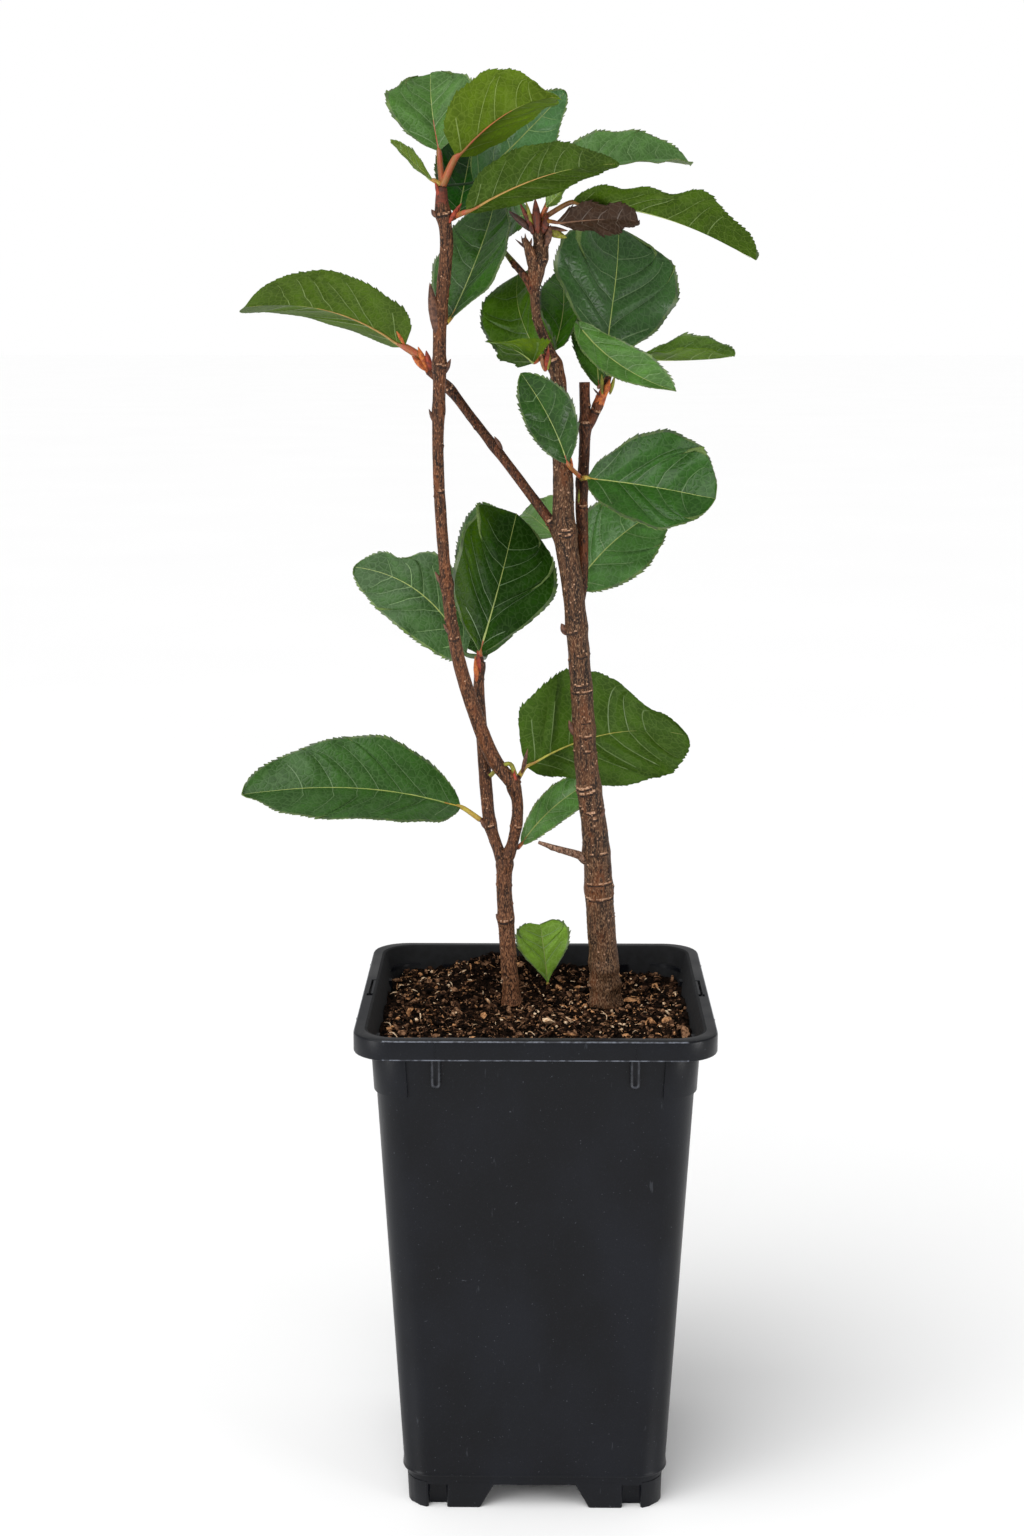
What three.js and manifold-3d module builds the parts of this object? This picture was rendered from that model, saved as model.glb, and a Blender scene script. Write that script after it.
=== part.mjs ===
// Potted chokeberry: a young shrub of two canes in a square nursery pot.
// Millimetres and degrees, +Z up. The canes and leaves are placed from the middle of the pot's
// base, with +Y away from the viewer; the finished group is centred on its own box at the end.
import * as THREE from 'three';
import { mergeVertices } from 'three/addons/utils/BufferGeometryUtils.js';
import Module from 'manifold-3d';

const wasm = await Module();
wasm.setup();

// Clearance between touching pieces
const GAP = 0.3;

// Pot: widths are half-widths, measured from the pot's upright axis
const POT = {
  height: 199, colour: 0x24262a,
  rimHalf: 69, rimRadius: 14.5, rimHeight: 8, lipTop: 1.8, skirt: 1.7,
  mouthHalf: 64, mouthDepth: 9,
  bodyTopHalf: 61.7, bodyFootHalf: 52.1, bodyRadius: 12, wall: 1.2,
  ledge: 14, footHalf: 51.2, footDraft: 0.6, floor: 12,
  panelDrop: 26, panelProud: 0.7, panelWidth: 20,
};
const RIB = { spread: 37.6, width: 3.2, length: 13.4, proud: 1.3 };
const CHANNEL = { height: 10, topHalf: 15.4, footHalf: 21.4 };
const NOTCH = { inner: 34.7, outer: 42, depth: 4 };
const DRAIN = { radius: 4, arm: 30, sides: 10 };
const TAG_SLOT = { front: -10.4, back: 12, width: 1.1, hole: 3.5, inset: 2.6 };
const ARC_STEPS = 4;

// Compost: flat round the stems, with a mound against the back wall and a low bank at the others
const SOIL = {
  level: 187, pad: 15, padEdge: 30, cells: 14, colour: 0x33241a,
  mound: 10.5, moundX: -7, moundY: 62, moundSpread: 31,
  bank: 3, lump: 0.8, lumpPitch: 22,
};

// Canes and branches: each route is [x, y, z, radius] from the foot to the tip
const BARK = { old: 0x5f5248, young: 0x5a3e34, left: 0x694e3e };
const LIMBS = {
  main_cane: { bark: BARK.old, sides: 10, foot: true, route: [
    [28.9, 18, SOIL.level + GAP, 6.8], [28.3, 17.6, 197, 5.8], [25.6, 16, 236, 5.8], [23.8, 15, 259, 5.3],
    [20, 13, 290, 4.6], [18, 12, 319, 4.3], [14.4, 11, 358.5, 4.2], [10.7, 11, 383.5, 4.5],
    [10.3, 11, 401.5, 3.9], [8.6, 10.5, 424.5, 3.3], [8.2, 10, 440.6, 2.9], [3.9, 10, 453.1, 1.9],
    [0, 10, 463.3, 1.7], [-0.8, 10, 473.8, 1.9], [-0.4, 10, 480.6, 3.3], [1.5, 10, 491, 2.6],
    [1.5, 10, 503, 2],
  ] },
  broken_stub: { bark: BARK.old, sides: 6, route: [
    [0, 9, 482, 2.5], [-2.7, 7, 488, 2.1], [-5, 6, 493.1, 0.9],
  ] },
  dead_spur: { bark: BARK.old, sides: 7, route: [
    [22.7, 15, 247.7, 2.4], [17, 14, 250.8, 2.1], [8.9, 11, 253.9, 1.6], [0.8, 8, 257.5, 0.9],
  ] },
  short_shoot: { bark: BARK.young, sides: 6, route: [
    [-0.8, 10, 473.1, 1.6], [-4.2, 10, 478.3, 1.5], [-9.2, 11, 484.3, 1.3],
  ] },
  crossing_branch: { bark: BARK.young, sides: 8, route: [
    [10.7, 11.5, 378.5, 2.4], [4.5, 12.9, 386.5, 2], [-12, 17.9, 407.9, 1.9], [-25.4, 21.9, 424.8, 1.9],
    [-34.9, 24.8, 436.7, 1.9], [-42.4, 27, 442.9, 1.7],
  ] },
  side_shoot: { bark: BARK.young, sides: 8, route: [
    [14.9, 12, 345.6, 2], [18, 15, 357.9, 1.9], [18.3, 18, 375.8, 2.2], [17.7, 19, 391.1, 2.5],
    [18.4, 19, 405.9, 2.2], [18.9, 19, 420.3, 2.2], [18.6, 19, 438.8, 2.1],
  ] },
  side_spur: { bark: BARK.young, sides: 7, route: [
    [18.9, 19, 419.5, 1.8], [22.4, 19, 426.5, 1.8], [25, 19, 432.7, 1.9], [27, 19, 437.3, 1.7],
  ] },
  left_cane: { bark: BARK.left, sides: 9, foot: true, route: [
    [-9.7, 18, SOIL.level + GAP, 3.9], [-10.2, 18, 194, 3.5], [-12.1, 18, 222.6, 3.2],
    [-12.9, 18, 239.3, 3.2], [-12.5, 18, 248.5, 3.1],
  ] },
  outer_arm: { bark: BARK.left, sides: 8, route: [
    [-12.5, 18, 246.8, 2.4], [-9.7, 17.5, 254, 2.3], [-7.6, 17, 264.5, 2.3], [-7.6, 16, 273, 2.3],
    [-9.2, 15, 279.3, 2.6],
  ] },
  left_leader: { bark: BARK.left, sides: 8, route: [
    [-8, 15, 278.9, 2.4], [-16.4, 14, 289.3, 3], [-24.7, 12, 310.3, 2.9], [-30.7, 10.5, 331, 2.6],
    [-35.3, 9, 361.7, 2.3], [-38.2, 7, 412.4, 2.2], [-37.4, 6.5, 439.2, 2.5], [-37.1, 6, 461.4, 2.6],
    [-34.4, 5.5, 492.4, 2.5], [-36, 5, 505.3, 2.6], [-36.7, 5, 513.7, 2.1],
  ] },
  middle_shoot: { bark: BARK.left, sides: 8, route: [
    [-12.9, 18, 246, 2.4], [-15.4, 19, 252.4, 2.3], [-18.6, 20, 262.2, 2.5], [-20.2, 21, 277.7, 2.6],
    [-21.8, 22, 298.4, 2.4], [-23, 22.5, 316.7, 2.2], [-22.6, 23, 328, 2],
  ] },
};
const STEPS_PER_SPAN = 2;

// Leaf blades: a few facets each way, never thinner than a hundredth of their length
const BLADE = { across: 2, along: 9, leastThickness: 0.7, lengthPerThickness: 92, leastHalfWidth: 0.5 };
const OUTLINE = { widest: 0.52, tip: 0.72, foot: 1 };
const PETIOLE = { radius: 0.75, taper: 0.15, sides: 4, run: 0.16 };
const STALK = { sides: 6, taper: 0.8 };
const GREEN = { dark: 0x2b5230, mid: 0x3c693c, blue: 0x4b7855, olive: 0x5a7323, bright: 0x558732 };
const ROUGHNESS = { plastic: 0.5, compost: 0.95, bark: 0.75, leaf: 0.5 };

// Masses of leaves. stem: [x, y, z] from inside the limb to the head that the petioles leave.
// A leaf has the base of its blade, its heading from +X, its rise, and the roll of its upper side;
// fold lifts both halves, arch and sway bow the midrib up and sideways, hook bends the tip back,
// slant leans the two halves along the midrib, and widest, foot and tip shape the outline.
const MASSES = {
  leaves_left_top: {
    colour: GREEN.olive, radius: 2, stem: [[-36.7, 5, 512], [-36.7, 5.4, 517.6]],
    leaves: [
      { base: [-37.2, 8, 525.2], heading: 101, rise: 59, roll: -14, length: 37, width: 35,
        fold: 16, arch: 0.06, widest: 0.57, foot: 0.8, tip: 0.6 },
      { base: [-30.5, 2, 522.6], heading: -32, rise: 24, roll: -19, length: 50, width: 37,
        fold: 16, arch: 0.15, widest: 0.43, foot: 0.64, tip: 0.67 },
      { base: [-24.1, 12, 514.1], heading: 34, rise: 40, roll: 100, length: 55, width: 24,
        fold: 12, arch: 0.04, sway: -0.02, widest: 0.57, hook: 0.12 },
      { base: [-39.3, 4, 514.4], heading: -147, rise: 38, roll: -52, length: 23, width: 8, fold: 11 },
    ],
  },
  leaves_left_node: {
    colour: GREEN.olive, radius: 1.7, stem: [[-35.6, 5.2, 499.6], [-31, 5.2, 501.2]],
    leaves: [
      { base: [-26.8, 0, 502.5], heading: -28, rise: 14, roll: -36, length: 66, width: 27,
        fold: 16, arch: 0.09, widest: 0.42, foot: 0.82 },
      { base: [-30, 12, 503.3], heading: 78, rise: 51, roll: 18, length: 42, width: 22, fold: 10 },
    ],
  },
  leaf_left_back: {
    colour: GREEN.dark, radius: 1.2, stem: [[-37.1, 6, 459.4], [-34.8, 8, 461.6]],
    leaves: [
      { base: [-33.7, 9, 462.6], heading: 51, rise: 58, roll: 25, length: 56, width: 26,
        fold: 13, arch: 0.03, widest: 0.46, foot: 0.81 },
    ],
  },
  leaf_crossing_branch: {
    colour: GREEN.olive, radius: 1.7, stem: [[-42, 26.9, 442.6], [-45.6, 27, 448.4]],
    leaves: [
      { base: [-47.4, 27, 452.5], heading: -172, rise: 13, roll: 36, length: 68, width: 34,
        fold: 19, arch: 0.11, widest: 0.5, foot: 0.73 },
    ],
  },
  leaves_main_top: {
    colour: GREEN.mid, radius: 2, stem: [[1.5, 10, 501], [2, 9.4, 506]],
    leaves: [
      { base: [13.2, 5, 506.3], heading: -11, rise: -17, roll: -13, length: 73, width: 27,
        fold: 38, arch: 0.12, widest: 0.47, foot: 0.69, tip: 0.62 },
      { base: [7.1, 3, 498.8], heading: -19, rise: 2, roll: -55, length: 33, width: 13,
        fold: 12, arch: 0.03, hook: 0.06, foot: 0.86 },
      { base: [8.7, 16, 514.3], heading: 16, rise: 8, roll: 42, length: 53, width: 32,
        fold: 26, arch: 0.07, widest: 0.4, foot: 0.76, tip: 0.55 },
      { base: [3.3, 5, 504.6], heading: -35, rise: 40, roll: 77, length: 12, width: 9, fold: 25 },
      { base: [-2.7, 15, 502], heading: 112, rise: 1, roll: -80, length: 36, width: 22 },
    ],
  },
  leaves_main_spur: {
    colour: GREEN.mid, radius: 1.7, stem: [[6.3, 10, 446], [1.4, 10.6, 448.4]],
    leaves: [
      { base: [2.4, 17.5, 447.4], heading: 138, rise: 55, roll: -55, length: 41, width: 35,
        fold: 9, widest: 0.43, foot: 0.63, tip: 0.64, hook: 0.14 },
      { base: [3.2, 5.2, 450.2], heading: -156, rise: 12, roll: 32, length: 26, width: 11,
        fold: 7, widest: 0.42, foot: 0.84 },
      { base: [6.3, 20.5, 450.5], heading: 83, rise: 52, roll: 28, length: 42, width: 26,
        fold: 11, arch: 0.05, widest: 0.48, foot: 0.78, tip: 0.6 },
    ],
  },
  leaves_side_top: {
    colour: GREEN.dark, radius: 1.6, stem: [[26.6, 19, 436.5], [28, 19, 441]],
    leaves: [
      { base: [27, 23, 448], heading: 70, rise: 74, roll: 40, length: 52, width: 53,
        fold: 8, arch: 0.03, widest: 0.58, foot: 0.71, tip: 0.6, hook: 0.06 },
      { base: [20.5, 13, 455.7], heading: -36, rise: -27, roll: 22, length: 44, width: 22,
        fold: 14, sway: 0.04, widest: 0.45, foot: 0.75 },
      { base: [39, 12, 448.9], heading: -15, rise: 0, roll: 20, length: 38, width: 23,
        fold: 28, sway: 0.02, widest: 0.55, foot: 0.87 },
      { base: [23.6, 25, 440], heading: 109, rise: 57, roll: -15, length: 42, width: 17,
        fold: 15, sway: 0.06, foot: 0.88 },
    ],
  },
  leaves_side_axil: {
    colour: GREEN.mid, radius: 1.5, stem: [[18.1, 19, 400.6], [17.6, 14.8, 401.8]],
    leaves: [
      { base: [12, 1, 408.2], heading: -154, rise: 60, roll: -95, length: 40, width: 21,
        fold: 15, arch: 0.05, sway: 0.03, foot: 0.76, tip: 0.65 },
      { base: [19.6, 10, 402.3], heading: -14, rise: -8, roll: 51, length: 51, width: 46,
        fold: 17, arch: 0.03, widest: 0.59, foot: 0.67, tip: 0.52 },
    ],
  },
  leaf_main_right: {
    colour: GREEN.blue, radius: 1.2, stem: [[14.8, 11.3, 352], [14.9, 18, 354.8]],
    leaves: [
      { base: [15, 24, 357.7], heading: 20, rise: 38, roll: 71, length: 51, width: 33,
        fold: 11, arch: 0.04, sway: -0.07, widest: 0.48, foot: 0.71 },
    ],
  },
  leaf_main_left: {
    colour: GREEN.blue, radius: 1.2, stem: [[12, 11, 371.5], [10.6, 18, 374]],
    leaves: [
      { base: [7.8, 36, 377.4], heading: 124, rise: 22, roll: -41, length: 28, width: 26,
        fold: 7, widest: 0.49, foot: 0.86, hook: 0.15 },
    ],
  },
  leaves_middle_top: {
    colour: GREEN.dark, radius: 1.9, stem: [[-22.6, 23, 326.6], [-22.6, 23.6, 330]],
    leaves: [
      { base: [-22.6, 24, 331.4], heading: 52, rise: 83, roll: 50, length: 62, width: 45,
        fold: 15, arch: 0.03, sway: 0.1, widest: 0.53, foot: 0.84, tip: 0.62 },
      { base: [-28.3, 28, 330.4], heading: 157, rise: 45, roll: -34, length: 59, width: 36,
        widest: 0.56, foot: 0.65, tip: 0.56, hook: 0.12 },
      { base: [-20.7, 30, 330.4], heading: 111, rise: 76, roll: -20, length: 63, width: 32,
        fold: 13, arch: 0.04, sway: 0.09, widest: 0.45, foot: 0.82 },
    ],
  },
  leaf_bend: {
    colour: GREEN.olive, radius: 1.4, stem: [[-8.6, 15, 279.6], [-6.8, 17, 282.4]],
    leaves: [
      { base: [-7.3, 21, 283.9], heading: 15, rise: 8, roll: -81, length: 73, width: 55,
        fold: 15, sway: 0.13, slant: -0.49, foot: 0.89, tip: 0.66 },
    ],
  },
  leaf_outer_arm: {
    colour: GREEN.mid, radius: 1, stem: [[-9.8, 17.5, 251.6], [-7.4, 18.2, 252.8]],
    leaves: [
      { base: [-6, 20, 253.7], heading: 50, rise: 37, roll: 27, length: 46, width: 15,
        fold: 12, sway: 0.03, widest: 0.56, foot: 0.83 },
    ],
  },
  leaf_low_left: {
    colour: GREEN.mid, radius: 1.3, stem: [[-18.6, 20, 262.2], [-22.6, 20, 264]],
    leaves: [
      { base: [-30.3, 20, 269.2], heading: -170, rise: 6, roll: -39, length: 89, width: 45,
        fold: 16, arch: 0.09, sway: 0.02, widest: 0.46, foot: 0.75, tip: 0.65 },
    ],
  },
  leaf_seedling: {
    colour: GREEN.bright, radius: 0.8, stem: [[5.2, 38, SOIL.level + GAP], [5.2, 38, 189.4]],
    leaves: [
      { base: [5.2, 38, 189.6], heading: 120, rise: 75, roll: -27, length: 27, width: 23,
        fold: 11, arch: 0.04, widest: 0.68, foot: 0.75, tip: 0.45 },
    ],
  },
};

const rad = THREE.MathUtils.degToRad;
const vec = ([x, y, z]) => new THREE.Vector3(x, y, z);

// A closed solid from a geometry, with shared vertices merged and empty triangles dropped
function solidOf(geometry) {
  geometry.deleteAttribute('normal');
  geometry.deleteAttribute('uv');
  const merged = mergeVertices(geometry, 1e-3);
  const corners = merged.index.array;
  const kept = [];
  for (let i = 0; i < corners.length; i += 3) {
    const [a, b, c] = corners.slice(i, i + 3);
    if (a !== b && b !== c && c !== a) kept.push(a, b, c);
  }
  const mesh = new wasm.Mesh({
    numProp: 3,
    vertProperties: new Float32Array(merged.attributes.position.array),
    triVerts: new Uint32Array(kept),
  });
  return new wasm.Manifold(mesh);
}

// The largest single body of a solid, so that a scrap left by a cut is dropped
function mainBody(solid) {
  const bodies = solid.decompose();
  return bodies.reduce((best, body) => (body.volume() > best.volume() ? body : best));
}

function meshOf(name, solid, material) {
  const { vertProperties, triVerts } = solid.getMesh();
  const geometry = new THREE.BufferGeometry();
  geometry.setAttribute('position', new THREE.BufferAttribute(new Float32Array(vertProperties), 3));
  geometry.setIndex(new THREE.BufferAttribute(new Uint32Array(triVerts), 1));
  geometry.computeVertexNormals();
  const mesh = new THREE.Mesh(geometry, material);
  mesh.name = name;
  return mesh;
}

function moveVertices(geometry, place) {
  const position = geometry.attributes.position;
  const point = new THREE.Vector3();
  for (let i = 0; i < position.count; i += 1) {
    point.fromBufferAttribute(position, i);
    const moved = place(point);
    position.setXYZ(i, moved.x, moved.y, moved.z);
  }
  return geometry;
}

const box = (x0, x1, y0, y1, z0, z1) => {
  const geometry = new THREE.BoxGeometry(x1 - x0, y1 - y0, z1 - z0);
  return solidOf(geometry.translate((x0 + x1) / 2, (y0 + y1) / 2, (z0 + z1) / 2));
};

// Square with round corners
function roundedSquare(half, radius) {
  const shape = new THREE.Shape();
  const flat = half - radius;
  shape.moveTo(-flat, -half);
  shape.absarc(flat, -flat, radius, -Math.PI / 2, 0, false);
  shape.absarc(flat, flat, radius, 0, Math.PI / 2, false);
  shape.absarc(-flat, flat, radius, Math.PI / 2, Math.PI, false);
  shape.absarc(-flat, -flat, radius, Math.PI, Math.PI * 1.5, false);
  return shape;
}

// Upright block on a rounded square that narrows evenly from its top to its foot
function taperedBlock(footHalf, topHalf, radius, z0, z1) {
  const options = { depth: z1 - z0, bevelEnabled: false, curveSegments: ARC_STEPS };
  const geometry = new THREE.ExtrudeGeometry(roundedSquare(topHalf, radius), options);
  return solidOf(moveVertices(geometry, (p) => {
    const scale = THREE.MathUtils.lerp(footHalf / topHalf, 1, p.z / (z1 - z0));
    return new THREE.Vector3(p.x * scale, p.y * scale, p.z + z0);
  }));
}

// Half-width of the pot's body at a height
const bodyHalfAt = (z) => {
  const shoulder = POT.height - POT.rimHeight;
  const slope = (POT.bodyTopHalf - POT.bodyFootHalf) / (shoulder - POT.ledge);
  return POT.bodyFootHalf + (z - POT.ledge) * slope;
};

function bodyBlock(grow, z0, z1) {
  const radius = POT.bodyRadius + grow;
  return taperedBlock(bodyHalfAt(z0) + grow, bodyHalfAt(z1) + grow, radius, z0, z1);
}

// A piece made for the front side, turned to all four sides and joined
function onFourSides(front) {
  return [90, 180, 270].reduce((all, angle) => all.add(front.rotate([0, 0, angle])), front);
}

// Down-turned rim: a flat lip with a thin skirt, open below
function potRim() {
  const { rimHalf, rimRadius, height, rimHeight, skirt, lipTop } = POT;
  const outer = taperedBlock(rimHalf, rimHalf, rimRadius, height - rimHeight, height);
  const half = rimHalf - skirt;
  const under = taperedBlock(half, half, rimRadius - skirt, height - rimHeight - 1, height - lipTop);
  return outer.subtract(under);
}

// Round-ended bead that runs down from the rim, one to each side of the middle
function ribPair() {
  const top = POT.height - POT.rimHeight + 1;
  const foot = top - RIB.length;
  const shape = new THREE.Shape();
  const half = RIB.width / 2;
  shape.moveTo(half, top);
  shape.lineTo(-half, top);
  shape.absarc(0, foot + half, half, Math.PI, 2 * Math.PI, false);
  const depth = RIB.proud + POT.wall;
  const options = { depth, bevelEnabled: false, curveSegments: ARC_STEPS };
  const geometry = new THREE.ExtrudeGeometry(shape, options);
  geometry.rotateX(Math.PI / 2);
  const face = bodyHalfAt(foot);
  const bead = solidOf(geometry.translate(0, depth - face - RIB.proud, 0));
  return bead.translate([RIB.spread, 0, 0]).add(bead.translate([-RIB.spread, 0, 0]));
}

// Four feet, left by a cross of two sloping channels, with a drain notch near each corner
function potFeet() {
  const block = taperedBlock(POT.footHalf - POT.footDraft, POT.footHalf, POT.bodyRadius, 0, POT.ledge + 1);
  const reach = POT.rimHalf;
  const shape = new THREE.Shape();
  shape.moveTo(-CHANNEL.footHalf, -GAP);
  shape.lineTo(CHANNEL.footHalf, -GAP);
  shape.lineTo(CHANNEL.topHalf, CHANNEL.height);
  shape.lineTo(-CHANNEL.topHalf, CHANNEL.height);
  const geometry = new THREE.ExtrudeGeometry(shape, { depth: 2 * reach, bevelEnabled: false });
  const channel = solidOf(geometry.rotateX(Math.PI / 2).translate(0, reach, 0));
  const feet = block.subtract(channel).subtract(channel.rotate([0, 0, 90]));
  const notchFace = POT.footHalf - NOTCH.depth;
  const notch = box(NOTCH.inner, NOTCH.outer, -reach, -notchFace, -1, POT.ledge);
  return feet.subtract(onFourSides(notch.add(notch.mirror([1, 0, 0]))));
}

// Slots for a plant label through the lip on the left and right
function tagSlots() {
  const x = POT.rimHalf - TAG_SLOT.inset;
  const z0 = POT.height - 2 * POT.lipTop;
  const z1 = POT.height + 1;
  const { front, back, width, hole } = TAG_SLOT;
  const outside = x + width / 2;
  const slot = box(outside - width, outside, front, back, z0, z1);
  const side = slot.add(box(outside - hole, outside, front, front + hole, z0, z1));
  return side.add(side.mirror([1, 0, 0]));
}

function drainHoles() {
  const geometry = new THREE.CylinderGeometry(DRAIN.radius, DRAIN.radius, POT.ledge, DRAIN.sides);
  const hole = solidOf(geometry.rotateX(Math.PI / 2).translate(0, 0, CHANNEL.height));
  return hole.add(onFourSides(hole.translate([0, -DRAIN.arm, 0])));
}

// Proud panel round each corner under the rim
function cornerPanels() {
  const top = POT.height - POT.rimHeight + 1;
  const ring = bodyBlock(POT.panelProud, top - POT.panelDrop, top);
  const reach = POT.rimHalf;
  const inner = reach - POT.panelWidth;
  const across = box(-inner, inner, -reach, reach, 0, POT.height);
  return ring.subtract(across).subtract(across.rotate([0, 0, 90]));
}

// The wall leans out to the lip, so the mouth is cut wider than the hollow below it
function potSolid() {
  const { height, wall, floor, bodyRadius, mouthHalf } = POT;
  const mouthFoot = height - POT.mouthDepth;
  const narrow = bodyHalfAt(mouthFoot) - wall;
  const mouth = taperedBlock(narrow, mouthHalf, bodyRadius, mouthFoot, height + GAP);
  const collar = taperedBlock(narrow + wall, mouthHalf + wall, bodyRadius + wall, mouthFoot, height);
  const cavity = bodyBlock(-wall, floor, height + 1);
  return bodyBlock(0, POT.ledge, height)
    .add(potRim())
    .add(collar)
    .add(cornerPanels())
    .add(onFourSides(ribPair()))
    .add(potFeet())
    .subtract(cavity)
    .subtract(mouth)
    .subtract(tagSlots())
    .subtract(drainHoles());
}

// Height of the compost's surface
function soilHeight(x, y) {
  const feet = [LIMBS.main_cane.route[0], LIMBS.left_cane.route[0], MASSES.leaf_seedling.stem[0]];
  const nearest = Math.min(...feet.map((foot) => Math.hypot(x - foot[0], y - foot[1])));
  const away = THREE.MathUtils.smoothstep(nearest, SOIL.pad, SOIL.padEdge);
  const offMound = Math.hypot(x - SOIL.moundX, y - SOIL.moundY) / SOIL.moundSpread;
  const mound = SOIL.mound * Math.exp(-(offMound ** 2));
  const wall = Math.max(Math.abs(x), Math.abs(y)) / POT.bodyTopHalf;
  const front = 1 - THREE.MathUtils.smoothstep(y, 0, POT.bodyTopHalf);
  const turn = (2 * Math.PI) / SOIL.lumpPitch;
  const lumps = SOIL.lump * Math.sin(turn * x) * Math.cos(turn * y);
  return SOIL.level + away * (mound + lumps + SOIL.bank * front * wall ** 3);
}

function soilSolid() {
  const top = POT.height;
  const block = bodyBlock(-POT.wall - GAP, POT.floor + GAP, top);
  const size = 2 * POT.rimHalf;
  const air = new THREE.BoxGeometry(size, size, size, SOIL.cells, SOIL.cells, 1);
  const sky = moveVertices(air, (p) => {
    const z = p.z < 0 ? soilHeight(p.x, p.y) : top + size;
    return new THREE.Vector3(p.x, p.y, z);
  });
  return block.subtract(solidOf(sky));
}

// Tapering tube along a smooth route of [x, y, z, radius]; grow thickens it and draws out its ends
function limbSolid({ route, sides, foot, perSpan = STEPS_PER_SPAN }, grow = 0) {
  const curve = new THREE.CatmullRomCurve3(route.map(vec));
  const spans = route.length - 1;
  const steps = spans * perSpan;
  const rings = [];
  let normal = new THREE.Vector3(1, 0, 0);
  for (let i = 0; i <= steps; i += 1) {
    const t = i / steps;
    const tangent = curve.getTangent(t);
    normal = normal.clone().addScaledVector(tangent, -normal.dot(tangent)).normalize();
    const span = Math.min(Math.floor(t * spans), spans - 1);
    const radius = THREE.MathUtils.lerp(route[span][3], route[span + 1][3], t * spans - span) + grow;
    const centre = curve.getPoint(t).addScaledVector(tangent, grow * (2 * t - 1));
    rings.push({ centre, normal, binormal: tangent.clone().cross(normal), radius });
  }
  const geometry = new THREE.CylinderGeometry(1, 1, 1, sides, steps);
  return solidOf(moveVertices(geometry, (p) => {
    const i = Math.round((p.y + 0.5) * steps);
    const { centre, normal: n, binormal: b, radius } = rings[i];
    const point = centre.clone().addScaledVector(n, p.z * radius).addScaledVector(b, p.x * radius);
    if (foot && i === 0) point.z = centre.z;
    return point;
  }));
}

// Outline of a blade: share of the full width at a share s of the length
function outlineAt(s, { widest = OUTLINE.widest, foot = OUTLINE.foot, tip = OUTLINE.tip }) {
  const skew = Math.log(0.5) / Math.log(widest);
  const power = THREE.MathUtils.lerp(foot, tip, s);
  return Math.max(Math.sin(Math.PI * s ** skew), 0) ** power;
}

// Directions of a blade: along its chord, to its left and out of its upper side
function bladeFrame({ heading, rise, roll }) {
  const h = rad(heading);
  const e = rad(rise);
  const chord = new THREE.Vector3(Math.cos(e) * Math.cos(h), Math.cos(e) * Math.sin(h), Math.sin(e));
  const left = new THREE.Vector3(-Math.sin(h), Math.cos(h), 0).applyAxisAngle(chord, rad(roll));
  return { chord, left, upper: chord.clone().cross(left) };
}

function midribAt(s, leaf, { chord, left, upper }) {
  const { length, arch = 0, sway = 0, hook = 0 } = leaf;
  const bow = 4 * s * (1 - s) * length;
  const bend = Math.max((s - 0.5) / 0.5, 0) ** 2 * hook * length;
  return vec(leaf.base)
    .addScaledVector(chord, s * length)
    .addScaledVector(upper, arch * bow - bend)
    .addScaledVector(left, -sway * bow);
}

// Thin closed blade with its own outline, fold and bow
function bladeSolid(leaf, frame) {
  const { length, width, fold = 5, slant = 0 } = leaf;
  const thickness = Math.max(BLADE.leastThickness, length / BLADE.lengthPerThickness);
  const geometry = new THREE.BoxGeometry(2, thickness, 1, BLADE.across, 1, BLADE.along);
  return solidOf(moveVertices(geometry, (p) => {
    const s = p.z + 0.5;
    const half = Math.max((width / 2) * outlineAt(s, leaf), BLADE.leastHalfWidth);
    const aside = half * p.x * Math.cos(rad(fold));
    return midribAt(s, leaf, frame)
      .addScaledVector(frame.left, aside)
      .addScaledVector(frame.chord, -slant * aside)
      .addScaledVector(frame.upper, half * Math.abs(p.x) * Math.sin(rad(fold)) + p.y);
  }));
}

// One leaf: its petiole runs from the head of the stem into the foot of the blade
function leafSolid(leaf, head) {
  const frame = bladeFrame(leaf);
  const inBlade = midribAt(PETIOLE.run, leaf, frame);
  const points = [head, leaf.base, inBlade.toArray()];
  const route = points.map((point, i) => [...point, PETIOLE.radius * (1 - PETIOLE.taper * i)]);
  return bladeSolid(leaf, frame).add(limbSolid({ route, sides: PETIOLE.sides, perSpan: 1 }));
}

function massSolid({ stem, radius, leaves }) {
  const [from, head] = stem;
  const route = [[...from, radius], [...head, radius * STALK.taper]];
  const stalk = limbSolid({ route, sides: STALK.sides, foot: true, perSpan: 1 });
  return leaves.reduce((mass, leaf) => mass.add(leafSolid(leaf, head)), stalk);
}

const finish = (color, roughness) => new THREE.MeshStandardMaterial({ color, roughness, metalness: 0 });

const plant = new THREE.Group();
plant.add(meshOf('pot', potSolid(), finish(POT.colour, ROUGHNESS.plastic)));
plant.add(meshOf('soil', soilSolid(), finish(SOIL.colour, ROUGHNESS.compost)));

// Each limb is cut clear of the limbs placed before it, and each mass clear of every limb
let wood = null;
for (const [name, limb] of Object.entries(LIMBS)) {
  const whole = limbSolid(limb);
  const clear = wood ? mainBody(whole.subtract(wood)) : whole;
  plant.add(meshOf(name, clear, finish(limb.bark, ROUGHNESS.bark)));
  const grown = limbSolid(limb, GAP);
  wood = wood ? wood.add(grown) : grown;
}
for (const [name, mass] of Object.entries(MASSES)) {
  const clear = mainBody(massSolid(mass).subtract(wood));
  plant.add(meshOf(name, clear, finish(mass.colour, ROUGHNESS.leaf)));
}

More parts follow.
